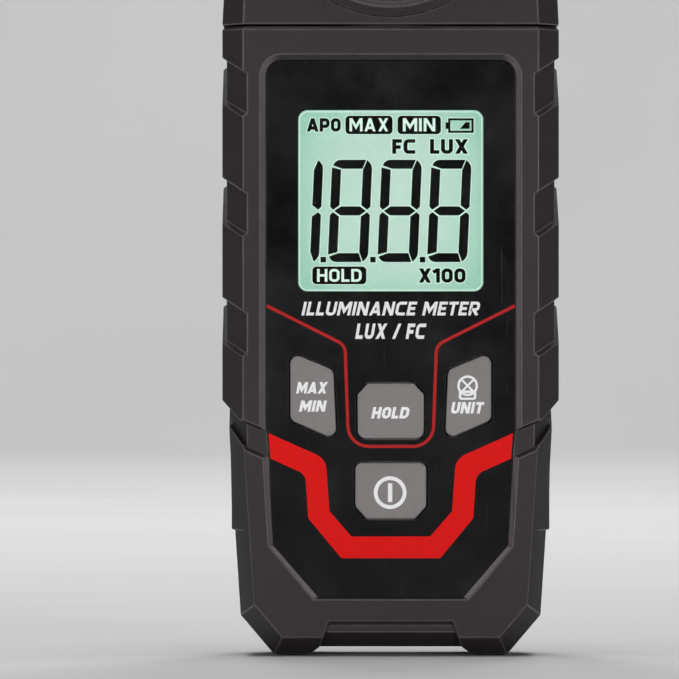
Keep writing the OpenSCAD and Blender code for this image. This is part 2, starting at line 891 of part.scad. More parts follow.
head_outline = [
    [-grip_x, head_z], [grip_x, head_z], [grip_x - 1.5, head_z + 29.6], [13.5, top_z],
    [-13.5, top_z], [-grip_x + 1.5, head_z + 29.6]
];
head_front = [0, front_inset, front_inset, 3, front_inset, front_inset];
head_back = [0, back_inset, back_inset, 3.5, back_inset, back_inset];

head_screw_pos = [[-18.8, 109], [18.8, 109], [-9, 140.6], [9, 140.6]];
head_board_y = deck_back_y + 4.6;
head_deck_y = bezel_y + 3;
ring_seat_y = bezel_y + 1.7;
light_r = 13.4;
sensor_post_r = 14.6;

module head_outer() {
    bevelled_block(head_outline, bezel_y, back_y, head_front, head_back);
}

module head_hollow(inset = 0) {
    side = grip_x - 3 - inset;
    y0 = head_deck_y + inset;
    y1 = wall_y - inset;
    intersection() {
        plate(y0, y1) polygon(mirrored([
            [side, head_floor_z + inset], [side - 1.7, head_z + 28.7],
            [12.4 - inset / 2, top_z - 2.4 - inset]
        ]));
        slab(head_z, top_z) polygon([
            [-side + 1.6, y0], [side - 1.6, y0], [side, side_y0 + 0.4], [side, side_y1 - 0.4],
            [side - 2.3, y1], [-side + 2.3, y1], [-side, side_y1 - 0.4], [-side, side_y0 + 0.4]
        ]);
        rib(-reach, reach) polygon([
            [y0, head_z], [y1, head_z], [y1, top_z - 5 - inset], [side_y1, top_z - 2.4 - inset],
            [side_y0, top_z - 2.4 - inset], [y0, top_z - 5 - inset]
        ]);
    }
}

// The stepped hole in the head's floor where the spindle's collar sits.
module collar_opening() {
    slab(head_z - 1, head_floor_z + 1) circle(collar_r + 0.05);
    for (a = [0:120:240]) rotate(a) translate([spindle_screw_r, 0, head_z + 0.3])
        cylinder(h = 5, r = 0.85);
}

sensor_posts = [for (a = [90, 210, 330]) sensor_post_r * [cos(a), sin(a)] + [0, dome_z]];

module head_front_case() {
    color([0.24, 0.22, 0.24]) difference() {
        union() {
            difference() {
                intersection() {
                    head_outer();
                    lower_half(part_y - part_gap / 2);
                }
                head_hollow();
            }
            for (pos = head_screw_pos) rod(pos, head_deck_y - 0.3, part_y - part_gap / 2, boss_r);
            for (pos = sensor_posts) rod(pos, head_deck_y - 0.3, head_board_y, 1.7);
        }
        rod([0, dome_z], bezel_y - 1, ring_seat_y, ring_r + 0.04);
        rod([0, dome_z], bezel_y - 1, head_deck_y + 1, light_r);
        for (pos = head_screw_pos) rod(pos, part_y - 8, part_y + 1, pilot_r);
        for (pos = sensor_posts) rod(pos, head_board_y - 3.6, head_board_y + 1, 0.8);
        collar_opening();
    }
}

module head_rear_case() {
    lip_y = part_y - 1.4;
    color([0.2, 0.19, 0.21]) difference() {
        union() {
            difference() {
                intersection() {
                    head_outer();
                    upper_half(part_y + part_gap / 2);
                }
                head_hollow();
            }
            difference() {
                union() {
                    intersection() {
                        head_hollow(0.15);
                        plate(lip_y, part_y + 1.2) box2(-reach, reach, head_floor_z + 6, top_z);
                    }
                    intersection() {
                        head_hollow(-0.3);
                        plate(part_y + part_gap / 2, part_y + 1.2)
                            box2(-reach, reach, head_floor_z + 6, top_z);
                    }
                }
                head_hollow(1);
                for (pos = head_screw_pos) rod(pos, -10, part_y - part_gap / 2, boss_r + 0.3);
            }
            for (pos = head_screw_pos) rod(pos, part_y - part_gap / 2, wall_y + 0.5, boss_r);
        }
        for (pos = head_screw_pos) {
            rod(pos, part_y - 1, back_y + 1, clear_r);
            rod(pos, sink_y, back_y + 1, sink_r);
        }
        collar_opening();
    }
}

module head_screws() {
    color([0.55, 0.55, 0.57]) for (pos = head_screw_pos)
        screw(pos, sink_y, 18.5, screw_r, 2.15, 1.2);
}

// Round parts of the sensor are drawn in (radius, distance in front of the bezel) and turned.
module turned_front() {
    translate([0, bezel_y, dome_z]) rotate([90, 0, 0]) rotate_extrude() children();
}

ring_in = ring_r - 4.2;
ring_proud = 1.6;
dome_base = -0.5;

module sensor_ring() {
    color([0.24, 0.22, 0.24]) turned_front() polygon([
        [ring_r, -1.7], [ring_r, 0.1], [ring_r - 1.4, ring_proud], [ring_r - 2.3, ring_proud],
        [ring_in + 0.2, 0.5], [ring_in, 0.2], [ring_in, dome_base + 0.02], [ring_in + 0.9, dome_base],
        [ring_in + 0.9, -1.7]
    ]);
}

// An opal cap of a sphere on a flange.
dome_r = ring_in - 0.1;
dome_wall = 1.4;
dome_h = dome_out - dome_base;
dome_curve = (dome_r * dome_r + dome_h * dome_h) / (2 * dome_h);

module diffuser_dome() {
    centre = dome_out - dome_curve;
    color([0.96, 0.96, 0.94]) turned_front() {
        difference() {
            intersection() {
                translate([0, centre]) circle(dome_curve, $fn = 180);
                box2(0, reach, dome_base, reach);
            }
            translate([0, centre]) circle(dome_curve - dome_wall, $fn = 180);
        }
        difference() {
            box2(dome_r - 1.6, dome_r + 0.9, dome_base - 0.7, dome_base);
            translate([0, centre]) circle(dome_curve - dome_wall, $fn = 180);
        }
    }
}

module dome_gasket() {
    color([0.08, 0.08, 0.08]) turned_front()
        box2(dome_r - 1.2, dome_r + 0.6, -1.7, dome_base - 0.7);
}

filter_front = -4.4;
module filter_holder() {
    color([0.07, 0.07, 0.07]) turned_front() polygon([
        [5.6, head_to_front(head_board_y)], [7.2, head_to_front(head_board_y)], [7.2, filter_front + 1.2],
        [4.6, filter_front + 1.2], [4.6, filter_front + 0.1], [5.6, filter_front + 0.1]
    ]);
}

function head_to_front(y) = bezel_y - y;

module light_filter() {
    color([0.45, 0.68, 0.5]) turned_front() box2(0, 5.5, filter_front - 1.8, filter_front);
}

module photodiode() {
    color([0.2, 0.2, 0.35]) plate(head_board_y - 1.6, head_board_y) translate([0, dome_z])
        square([6.4, 6.4], center = true);
}

module sensor_board() {
    color([0.08, 0.35, 0.16]) plate(head_board_y, head_board_y + board_t) difference() {
        translate([0, dome_z]) circle(sensor_post_r + 2);
        for (pos = sensor_posts) translate(pos) circle(1.1);
    }
}

module sensor_board_screws() {
    color([0.75, 0.75, 0.77]) for (pos = sensor_posts)
        screw(pos, head_board_y + board_t, 4.6, small_screw_r, 1.6, 1);
}

// The sensor lead runs down the middle of the spindle, where the head's turn only twists it.
lead_r = 1.1;
lead_split_z = body_h - 5.4;

module sensor_lead_head() {
    from_y = head_board_y + board_t + 0.02;
    color([0.12, 0.12, 0.13]) wire([
        [0, from_y, 113], [0, from_y + 0.8, 113], [0, from_y + 2, 112.4], [0, -1, 111],
        [0, -0.2, 109.4], [0, 0, 107.6], [0, 0, 104], [0, 0, lead_split_z]
    ], lead_r);
}

module sensor_lead_body() {
    to_y = board_back_y + 2.55;
    color([0.12, 0.12, 0.13]) wire([
        [0, 0, lead_split_z], [0, 0, 93.6], [0, -0.15, 92], [0, -0.7, 90.2],
        [0, to_y + 0.1, 88.6], [0, to_y, 87.4], [0, to_y, socket_z - 1.3]
    ], lead_r);
}

// ---------------------------------------------------------------- the meter

module place() {
    translate([0, swivel_y, 0]) children();
}

place() {
    front_case();
    rear_case();
    front_panel();
    display_window();
    lcd_glass();
    lcd_frame();
    backlight_plate();
    backlight_leds();
    zebra_strips();
    main_board();
    board_screws();
    mcu_chip();
    board_components();
    sensor_socket();
    switch_bodies();
    snap_domes();
    key_max_min();
    key_hold();
    key_unit();
    key_power();
    plunger_max_min();
    plunger_hold();
    plunger_unit();
    plunger_power();
    battery_cover();
    cover_pad();
    cover_screw();
    battery_cells();
    battery_springs();
    battery_contacts();
    battery_leads();
    case_screws();
    neck_bush();
    swivel_washer();
    head_front_case();
    head_rear_case();
    head_screws();
    swivel_spindle();
    spindle_screws();
    spindle_clip();
    wave_washer();
    sensor_ring();
    diffuser_dome();
    dome_gasket();
    light_filter();
    filter_holder();
    photodiode();
    sensor_board();
    sensor_board_screws();
    sensor_lead_head();
    sensor_lead_body();
}
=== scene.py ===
"""Handheld light meter: materials, printed marks, display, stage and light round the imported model."""

import json
import math

import bmesh
import bpy
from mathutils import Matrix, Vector

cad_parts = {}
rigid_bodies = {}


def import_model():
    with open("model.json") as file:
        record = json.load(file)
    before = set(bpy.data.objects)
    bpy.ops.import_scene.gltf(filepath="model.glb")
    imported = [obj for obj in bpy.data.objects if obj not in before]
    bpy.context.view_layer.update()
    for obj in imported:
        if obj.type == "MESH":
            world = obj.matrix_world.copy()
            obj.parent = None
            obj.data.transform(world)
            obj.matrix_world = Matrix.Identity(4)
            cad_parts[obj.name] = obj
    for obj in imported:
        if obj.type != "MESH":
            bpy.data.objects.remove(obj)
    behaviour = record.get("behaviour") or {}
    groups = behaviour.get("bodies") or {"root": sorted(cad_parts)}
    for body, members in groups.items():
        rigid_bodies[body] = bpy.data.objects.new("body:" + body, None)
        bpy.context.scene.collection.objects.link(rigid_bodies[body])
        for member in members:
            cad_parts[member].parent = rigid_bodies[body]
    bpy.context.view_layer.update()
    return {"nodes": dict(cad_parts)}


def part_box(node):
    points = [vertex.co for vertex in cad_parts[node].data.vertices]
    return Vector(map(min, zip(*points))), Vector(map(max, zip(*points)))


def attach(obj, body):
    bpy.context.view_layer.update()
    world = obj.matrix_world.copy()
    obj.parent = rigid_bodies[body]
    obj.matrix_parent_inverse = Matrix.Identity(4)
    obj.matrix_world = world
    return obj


for old in list(bpy.data.objects):
    bpy.data.objects.remove(old)
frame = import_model()
nodes = frame["nodes"]
MM = 0.001

# ------------------------------------------------------------------ node helpers


class Tree:
    """A material's node tree, with short calls to add and join nodes."""

    def __init__(self, name):
        self.mat = bpy.data.materials.new(name)
        self.mat.use_nodes = True
        self.nt = self.mat.node_tree
        self.nt.nodes.clear()
        self.out = self.nt.nodes.new("ShaderNodeOutputMaterial")
        self.bsdf = self.nt.nodes.new("ShaderNodeBsdfPrincipled")
        self.link(self.bsdf.outputs[0], self.out.inputs["Surface"])
        self._object = None

    def node(self, kind, **values):
        n = self.nt.nodes.new(kind)
        for key, value in values.items():
            setattr(n, key, value)
        return n

    def link(self, a, b):
        self.nt.links.new(a, b)

    def put(self, socket, value):
        """Joins another node's output to the socket, or sets a plain value on it."""
        if isinstance(value, bpy.types.NodeSocket):
            self.link(value, socket)
        else:
            socket.default_value = value

    def coords(self):
        if self._object is None:
            self._object = self.node("ShaderNodeTexCoord").outputs["Object"]
        return self._object

    def scaled(self, x, y, z):
        """The object's coordinates, stretched by a factor along each axis."""
        m = self.node("ShaderNodeMapping")
        self.link(self.coords(), m.inputs["Vector"])
        m.inputs["Scale"].default_value = (x, y, z)
        return m.outputs[0]

    def noise(self, scale, detail=2.0, rough=0.5, vector=None, distortion=0.0):
        n = self.node("ShaderNodeTexNoise")
        self.link(vector or self.coords(), n.inputs["Vector"])
        n.inputs["Scale"].default_value = scale
        n.inputs["Detail"].default_value = detail
        n.inputs["Roughness"].default_value = rough
        n.inputs["Distortion"].default_value = distortion
        return n.outputs["Fac"]

    def voronoi(self, scale):
        n = self.node("ShaderNodeTexVoronoi", feature="F1")
        self.link(self.coords(), n.inputs["Vector"])
        n.inputs["Scale"].default_value = scale
        return n.outputs["Distance"]

    def remap(self, value, a0, a1, b0, b1):
        n = self.node("ShaderNodeMapRange")
        self.link(value, n.inputs["Value"])
        n.inputs["From Min"].default_value = a0
        n.inputs["From Max"].default_value = a1
        n.inputs["To Min"].default_value = b0
        n.inputs["To Max"].default_value = b1
        return n.outputs["Result"]

    def math(self, op, a, b=0.0):
        n = self.node("ShaderNodeMath", operation=op)
        self.put(n.inputs[0], a)
        self.put(n.inputs[1], b)
        return n.outputs[0]

    def mix(self, fac, a, b):
        n = self.node("ShaderNodeMix", data_type="RGBA")
        self.put(n.inputs["Factor"], fac)
        self.put(n.inputs["A"], a)
        self.put(n.inputs["B"], b)
        return n.outputs["Result"]

    def bump(self, height, distance, strength=1.0):
        n = self.node("ShaderNodeBump")
        self.link(height, n.inputs["Height"])
        n.inputs["Distance"].default_value = distance
        n.inputs["Strength"].default_value = strength
        return n.outputs["Normal"]

    def open_sky(self, distance):
        """1 on flats and outer edges, falling towards inner corners of the same piece."""
        n = self.node("ShaderNodeAmbientOcclusion", samples=4, only_local=True)
        n.inputs["Distance"].default_value = distance
        return n.outputs["AO"]

    def edges(self, radius, low, high):
        """1 on edges and 0 on flats, from the angle between the rounded and the plain normal."""
        b = self.node("ShaderNodeBevel", samples=6)
        b.inputs["Radius"].default_value = radius
        g = self.node("ShaderNodeNewGeometry")
        d = self.node("ShaderNodeVectorMath", operation="DOT_PRODUCT")
        self.link(b.outputs[0], d.inputs[0])
        self.link(g.outputs["Normal"], d.inputs[1])
        off = self.math("SUBTRACT", 1.0, d.outputs["Value"])
        return self.remap(off, low, high, 0.0, 1.0)

    def facing(self):
        """How far the surface faces to either side, and how far it faces up."""
        g = self.node("ShaderNodeNewGeometry")
        sep = self.node("ShaderNodeSeparateXYZ")
        self.link(g.outputs["Normal"], sep.inputs[0])
        return self.math("ABSOLUTE", sep.outputs["X"]), sep.outputs["Z"]


def lin(r, g, b):
    """An sRGB colour, 0 to 255, as linear."""
    out = []
    for v in (r, g, b):
        v /= 255
        out.append(v / 12.92 if v <= 0.04045 else ((v + 0.055) / 1.055) ** 2.4)
    return (*out, 1.0)


def scale_col(c, k):
    """The colour made k times as bright."""
    return (c[0] * k, c[1] * k, c[2] * k, 1.0)


# ------------------------------------------------------------------ materials


def moulded(name, colour, rough=0.58, edge_rub_and_highlight_strength=0.75):
    """Spark-eroded plastic: pebbled grain, faint blotches, outer edges lighter (partly rubbed wear, partly a
    painted highlight), painted shade in inner corners, scuffs.
    """
    t = Tree(name)
    grain = 2600
    fine = t.noise(grain, 3.0, 0.6)
    pebble = t.voronoi(grain * 0.55)
    blotch = t.noise(55, 3.0, 0.6)
    scuff = t.noise(1.0, 2.0, 0.5, vector=t.scaled(420, 420, 60), distortion=1.2)
    scuff_mask = t.remap(scuff, 0.66, 0.78, 0.0, 0.3)
    sky = t.open_sky(0.9 * MM)
    outer = t.remap(sky, 0.78, 0.96, 0.0, 1.0)
    # Lighter line along the outer edges: partly rubbed wear, partly a painted highlight.
    edge_mask = t.math("MULTIPLY", t.edges(0.3 * MM, 0.01, 0.1), outer)
    broken = t.remap(t.noise(350, 4.0, 0.7), 0.3, 0.62, 0.45, 1.0)
    edge_rub_and_highlight = t.math("MULTIPLY", edge_mask, t.math("MULTIPLY", broken, edge_rub_and_highlight_strength))
    tone = t.mix(t.remap(blotch, 0.3, 0.7, 0.0, 1.0), scale_col(colour, 0.9), scale_col(colour, 1.1))
    tone = t.mix(t.remap(fine, 0.3, 0.7, 0.0, 0.5), tone, scale_col(colour, 1.3))
    tone = t.mix(scuff_mask, tone, scale_col(colour, 1.5))
    tone = t.mix(edge_rub_and_highlight, tone, scale_col(colour, 2.9))
    # Painted shade: darker in inner corners and creases.
    tone = t.mix(t.remap(sky, 0.35, 0.8, 0.45, 0.0), tone, scale_col(colour, 0.45))
    t.link(tone, t.bsdf.inputs["Base Color"])
    r = t.remap(blotch, 0.2, 0.8, rough - 0.05, rough + 0.06)
    r = t.math("SUBTRACT", r, t.math("MULTIPLY", edge_rub_and_highlight, 0.16))
    t.link(r, t.bsdf.inputs["Roughness"])
    height = t.math("ADD", t.math("MULTIPLY", pebble, 0.6), t.math("MULTIPLY", fine, 0.5))
    t.link(t.bump(height, 0.05 * MM, 0.8), t.bsdf.inputs["Normal"])
    t.bsdf.inputs["Specular IOR Level"].default_value = 0.34
    return t.mat


def rub_and_highlight_edge(name, colour, bright, rough=0.42):
    """The rounded edges: a lighter, smoother line where they stand out, partly rubbed wear and partly a
    painted highlight; paler still where they slant up and sideways, a painted highlight; painted shade in
    inner corners.
    """
    t = Tree(name)
    outer = t.remap(t.open_sky(0.7 * MM), 0.74, 0.93, 0.0, 1.0)
    broken = t.remap(t.noise(420, 4.0, 0.7), 0.3, 0.66, 0.5, 1.0)
    fine = t.noise(2600, 3.0, 0.6)
    light = t.mix(t.remap(fine, 0.3, 0.7, 0.0, 1.0), scale_col(bright, 0.9), scale_col(bright, 1.12))
    sideways, up = t.facing()
    # Painted highlight: edges that slant up and sideways are made paler still.
    slanting = t.math("MULTIPLY", t.remap(up, 0.2, 0.45, 0.0, 1.0), t.remap(sideways, 0.2, 0.45, 0.0, 1.0))
    light = t.mix(slanting, light, scale_col(bright, 1.9))
    # Outer edges take the lighter line, partly wear and partly painted highlight; inner corners take painted
    # shade.
    tone = t.mix(t.math("MULTIPLY", outer, broken), scale_col(colour, 0.6), light)
    t.link(tone, t.bsdf.inputs["Base Color"])
    t.link(t.remap(fine, 0.2, 0.8, rough - 0.05, rough + 0.05), t.bsdf.inputs["Roughness"])
    t.link(t.bump(fine, 0.012 * MM, 0.6), t.bsdf.inputs["Normal"])
    return t.mat


def sloping_rim(name, colour, bright):
    """The wall round the panel: smooth, and paler on its upright and slanting runs, palest where it faces
    up, all a painted highlight.
    """
    t = Tree(name)
    sideways, up = t.facing()
    side = t.remap(sideways, 0.08, 0.6, 0.0, 1.0)
    low = t.remap(up, 0.25, 0.5, 0.0, 1.0)
    fine = t.noise(1800, 3.0, 0.6)
    soft = t.noise(140, 3.0, 0.6)
    pale = t.mix(t.remap(soft, 0.3, 0.7, 0.0, 1.0), scale_col(bright, 0.88), scale_col(bright, 1.1))
    # Painted highlight: paler where the wall faces sideways, palest where it faces up.
    tone = t.mix(side, colour, t.mix(low, pale, scale_col(bright, 1.9)))
    tone = t.mix(t.remap(fine, 0.3, 0.7, 0.0, 0.3), tone, scale_col(bright, 0.8))
    t.link(tone, t.bsdf.inputs["Base Color"])
    t.link(t.remap(soft, 0.2, 0.8, 0.32, 0.42), t.bsdf.inputs["Roughness"])
    t.link(t.bump(fine, 0.008 * MM, 0.5), t.bsdf.inputs["Normal"])
    t.bsdf.inputs["Specular IOR Level"].default_value = 0.55
    return t.mat


def film(name, colour, rough=0.28):
    """A smooth printed film: slight orange peel, hairlines and finger haze."""
    t = Tree(name)
    peel = t.noise(420, 2.0, 0.5)
    haze = t.noise(70, 4.0, 0.65)
    hair = t.noise(1.0, 1.0, 0.5, vector=t.scaled(2400, 2400, 90), distortion=0.6)
    hair_mask = t.remap(hair, 0.7, 0.8, 0.0, 0.25)
    tone = t.mix(t.remap(haze, 0.35, 0.75, 0.0, 1.0), colour, scale_col(colour, 1.45))
    tone = t.mix(hair_mask, tone, scale_col(colour, 2.2))
    t.link(tone, t.bsdf.inputs["Base Color"])
    r = t.remap(haze, 0.3, 0.75, rough - 0.05, rough + 0.1)
    t.link(t.math("ADD", r, t.math("MULTIPLY", hair_mask, 0.4)), t.bsdf.inputs["Roughness"])
    t.link(t.bump(peel, 0.006 * MM, 0.6), t.bsdf.inputs["Normal"])
    t.bsdf.inputs["Specular IOR Level"].default_value = 0.28
    return t.mat


def silicone(name, colour):
    """Soft key rubber: silky grain, a painted highlight along the rounded rim and a little lint."""
    t = Tree(name)
    fine = t.noise(3200, 2.0, 0.6)
    blotch = t.noise(160, 3.0, 0.6)
    lint = t.remap(t.noise(1900, 1.0, 0.4), 0.74, 0.8, 0.0, 0.25)
    rim = t.edges(0.5 * MM, 0.02, 0.25)
    tone = t.mix(t.remap(blotch, 0.3, 0.7, 0.0, 1.0), scale_col(colour, 0.93), scale_col(colour, 1.06))
    tone = t.mix(t.remap(fine, 0.35, 0.7, 0.0, 0.35), tone, scale_col(colour, 0.8))
    tone = t.mix(lint, tone, scale_col(colour, 1.5))
    # Painted highlight along the key's rounded rim.
    tone = t.mix(t.math("MULTIPLY", rim, 0.35), tone, scale_col(colour, 1.3))
    t.link(tone, t.bsdf.inputs["Base Color"])
    t.link(t.remap(blotch, 0.2, 0.8, 0.55, 0.68), t.bsdf.inputs["Roughness"])
    t.link(t.bump(fine, 0.02 * MM, 0.7), t.bsdf.inputs["Normal"])
    t.bsdf.inputs["Sheen Weight"].default_value = 0.12
    t.bsdf.inputs["Specular IOR Level"].default_value = 0.35
    return t.mat


def ink(name, colour, rough=0.55):
    """A screen-printed ink: a hair of mottling, and thin at the odd spot."""
    t = Tree(name)
    mottle = t.noise(900, 3.0, 0.6)
    thin = t.remap(t.noise(260, 3.0, 0.6), 0.62, 0.8, 0.0, 0.22)
    tone = t.mix(t.remap(mottle, 0.3, 0.7, 0.0, 1.0), scale_col(colour, 0.94), scale_col(colour, 1.04))
    tone = t.mix(thin, tone, scale_col(colour, 0.78))
    t.link(tone, t.bsdf.inputs["Base Color"])
    t.link(t.remap(mottle, 0.2, 0.8, rough - 0.06, rough + 0.08), t.bsdf.inputs["Roughness"])
    t.link(t.bump(mottle, 0.004 * MM, 0.5), t.bsdf.inputs["Normal"])
    t.bsdf.inputs["Specular IOR Level"].default_value = 0.12
    return t.mat


def metal(name, colour, rough):
    """Drawn or plated metal: a fine grain along z, faint stains and painted shade in recesses."""
    t = Tree(name)
    grain = t.noise(1.0, 3.0, 0.6, vector=t.scaled(900, 900, 60))
    stain = t.noise(240, 3.0, 0.6)
    tone = t.mix(t.remap(stain, 0.35, 0.75, 0.0, 1.0), colour, scale_col(colour, 0.72))
    # Painted shade: darker in recesses.
    tone = t.mix(t.remap(t.open_sky(0.6 * MM), 0.3, 0.85, 0.75, 0.0), tone, scale_col(colour, 0.12))
    t.link(tone, t.bsdf.inputs["Base Color"])
    t.link(t.remap(grain, 0.25, 0.75, rough - 0.08, rough + 0.12), t.bsdf.inputs["Roughness"])
    t.link(t.bump(grain, 0.006 * MM, 0.5), t.bsdf.inputs["Normal"])
    t.bsdf.inputs["Metallic"].default_value = 1.0
    return t.mat


def plain_plastic(name, colour, rough=0.5, grain=1800, depth=0.01):
    """An inner part's plastic, rubber or lacquer, with a fine grain and faint blotches."""
    t = Tree(name)
    fine = t.noise(grain, 3.0, 0.6)
    blotch = t.noise(90, 3.0, 0.6)
    tone = t.mix(t.remap(blotch, 0.3, 0.7, 0.0, 1.0), scale_col(colour, 0.9), scale_col(colour, 1.08))
    t.link(tone, t.bsdf.inputs["Base Color"])
    t.link(t.remap(fine, 0.2, 0.8, rough - 0.06, rough + 0.06), t.bsdf.inputs["Roughness"])
    t.link(t.bump(fine, depth * MM, 0.6), t.bsdf.inputs["Normal"])
    return t.mat


def opal():
    """Milky moulded dome: light spreads inside it, and its skin is satin."""
    t = Tree("opal_dome")
    fine = t.noise(1500, 3.0, 0.6)
    cloud = t.noise(120, 3.0, 0.6)
    tone = t.mix(t.remap(cloud, 0.3, 0.7, 0.0, 1.0), (0.82, 0.82, 0.79, 1), (0.9, 0.9, 0.88, 1))
    t.link(tone, t.bsdf.inputs["Base Color"])
    t.link(t.remap(fine, 0.2, 0.8, 0.33, 0.45), t.bsdf.inputs["Roughness"])
    t.link(t.bump(fine, 0.006 * MM, 0.6), t.bsdf.inputs["Normal"])
    t.bsdf.inputs["Subsurface Weight"].default_value = 0.6
    t.bsdf.inputs["Subsurface Radius"].default_value = (1.0, 0.95, 0.85)
    t.bsdf.inputs["Subsurface Scale"].default_value = 0.0015
    return t.mat


def clear(name, tint, rough):
    """Clear plastic or glass, with a slight haze."""
    t = Tree(name)
    haze = t.noise(60, 4.0, 0.65)
    peel = t.noise(300, 2.0, 0.5)
    t.link(t.mix(haze, tint, scale_col(tint, 0.96)), t.bsdf.inputs["Base Color"])
    t.link(t.remap(haze, 0.4, 0.8, rough, rough + 0.03), t.bsdf.inputs["Roughness"])
    t.link(t.bump(peel, 0.001 * MM, 0.3), t.bsdf.inputs["Normal"])
    t.bsdf.inputs["Transmission Weight"].default_value = 1.0
    t.bsdf.inputs["IOR"].default_value = 1.3
    return t.mat


def lcd_face():
    """The lit display: pale green, with painted shade making it deeper and darker towards its edges, and a
    faint polariser grain.
    """
    t = Tree("lcd_lit")
    lo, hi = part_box("display_window")
    cx, cz = (lo.x + hi.x) / 2, (lo.z + hi.z) / 2
    m = t.node("ShaderNodeMapping", vector_type="POINT")
    t.link(t.coords(), m.inputs["Vector"])
    half_x, half_z = (hi.x - lo.x) / 2, (hi.z - lo.z) / 2
    m.inputs["Scale"].default_value = (1 / half_x, 0.0, 1 / half_z)
    m.inputs["Location"].default_value = (-cx / half_x, 0.0, -cz / half_z)
    sep = t.node("ShaderNodeSeparateXYZ")
    t.link(m.outputs[0], sep.inputs[0])
    ax = t.math("POWER", t.math("ABSOLUTE", sep.outputs["X"]), 2.6)
    az = t.math("POWER", t.math("ABSOLUTE", sep.outputs["Z"]), 3.2)
    far = t.math("ADD", ax, t.math("MULTIPLY", az, 0.8))
    far = t.math("ADD", far, t.remap(t.noise(90, 3.0, 0.6), 0.3, 0.7, -0.06, 0.06))
    far = t.remap(far, 0.05, 1.25, 0.0, 1.0)
    # Painted shade: darker and deeper green towards the display's edges.
    tone = t.mix(far, lin(180, 207, 195), lin(143, 192, 172))
    grain = t.noise(2600, 2.0, 0.5)
    tone = t.mix(t.remap(grain, 0.3, 0.7, 0.0, 0.12), tone, lin(205, 236, 220))
    t.link(t.mix(0.15, (0, 0, 0, 1), tone), t.bsdf.inputs["Base Color"])
    t.link(tone, t.bsdf.inputs["Emission Color"])
    t.bsdf.inputs["Emission Strength"].default_value = 1.05
    t.link(t.remap(grain, 0.2, 0.8, 0.3, 0.45), t.bsdf.inputs["Roughness"])
    t.link(t.bump(grain, 0.002 * MM, 0.3), t.bsdf.inputs["Normal"])
    return t.mat


def glow(name, colour, strength):
    """A surface that gives off light: lit through from behind by the display's lamps, and as lcd_halo a
    painted glow round the display's marks.
    """
    t = Tree(name)
    n = t.noise(1400, 2.0, 0.5)
    tone = t.mix(t.remap(n, 0.3, 0.7, 0.0, 1.0), colour, scale_col(colour, 0.94))
    t.link(t.mix(0.2, (0, 0, 0, 1), tone), t.bsdf.inputs["Base Color"])
    t.link(tone, t.bsdf.inputs["Emission Color"])
    t.bsdf.inputs["Emission Strength"].default_value = strength
    t.link(t.remap(n, 0.2, 0.8, 0.4, 0.5), t.bsdf.inputs["Roughness"])
    return t.mat


def segment_ink():
    """A display segment: black, and faintly uneven where the liquid crystal is thin."""
    t = Tree("lcd_segment")
    n = t.noise(700, 2.0, 0.5)
    t.link(t.mix(n, lin(1, 1, 1), lin(5, 6, 6)), t.bsdf.inputs["Base Color"])
    t.link(t.remap(n, 0.2, 0.8, 0.55, 0.7), t.bsdf.inputs["Roughness"])
    t.bsdf.inputs["Specular IOR Level"].default_value = 0.15
    return t.mat


CASE = lin(38, 33, 36)
M = {
    "case": moulded("case_front_plastic", CASE),
    "case_edge": rub_and_highlight_edge("case_edges", CASE, lin(80, 73, 77)),
    "rear": moulded("case_rear_plastic", CASE),
    "rear_edge": rub_and_highlight_edge("rear_edges", CASE, lin(68, 62, 66)),
    "ring": moulded("ring_plastic", lin(48, 45, 48), rough=0.5, edge_rub_and_highlight_strength=0.4),
    "rim": sloping_rim("rim_plastic", CASE, lin(98, 92, 94)),
    "panel": film("panel_film", lin(5, 4, 6), 0.2),
    "window": clear("window_clear", (0.97, 1.0, 0.98, 1), 0.02),
    "lcd": lcd_face(),
    "key": silicone("key_silicone", lin(136, 131, 130)),
    "opal": opal(),
    "rubber": plain_plastic("black_rubber", lin(24, 23, 24), 0.7),
    "white": plain_plastic("frame_white", lin(214, 213, 206), 0.5),
    "guide": glow("light_guide", lin(190, 235, 210), 0.6),
    "board": plain_plastic("solder_mask", lin(18, 78, 40), 0.35, 500, 0.02),
    "chip": plain_plastic("chip_black", lin(30, 30, 31), 0.55),
    "steel": metal("screw_steel", (0.2, 0.2, 0.21, 1), 0.36),
    "spring": metal("bare_steel", (0.56, 0.56, 0.57, 1), 0.25),
    "cell": metal("cell_sleeve", (0.5, 0.36, 0.14, 1), 0.35),
    "lead": plain_plastic("lead_cover", lin(26, 25, 27), 0.5),
    "filter": clear("filter_glass", (0.35, 0.7, 0.42, 1), 0.05),
    "diode": plain_plastic("photodiode_epoxy", lin(40, 38, 70), 0.15),
    "red_ink": ink("red_ink", lin(230, 12, 8)),
    "thin_ink": ink("thin_red_ink", lin(184, 34, 34)),
    "white_ink": ink("white_ink", lin(243, 241, 243)),
    "legend_ink": ink("legend_ink", lin(250, 250, 250)),
    "segment": segment_ink(),
    # Painted glow: pale outlines round the display's marks and a line inside the window.
    "halo": glow("lcd_halo", lin(203, 232, 219), 1.0),
    "badge_text": glow("lcd_badge_text", lin(214, 236, 226), 1.0),
}

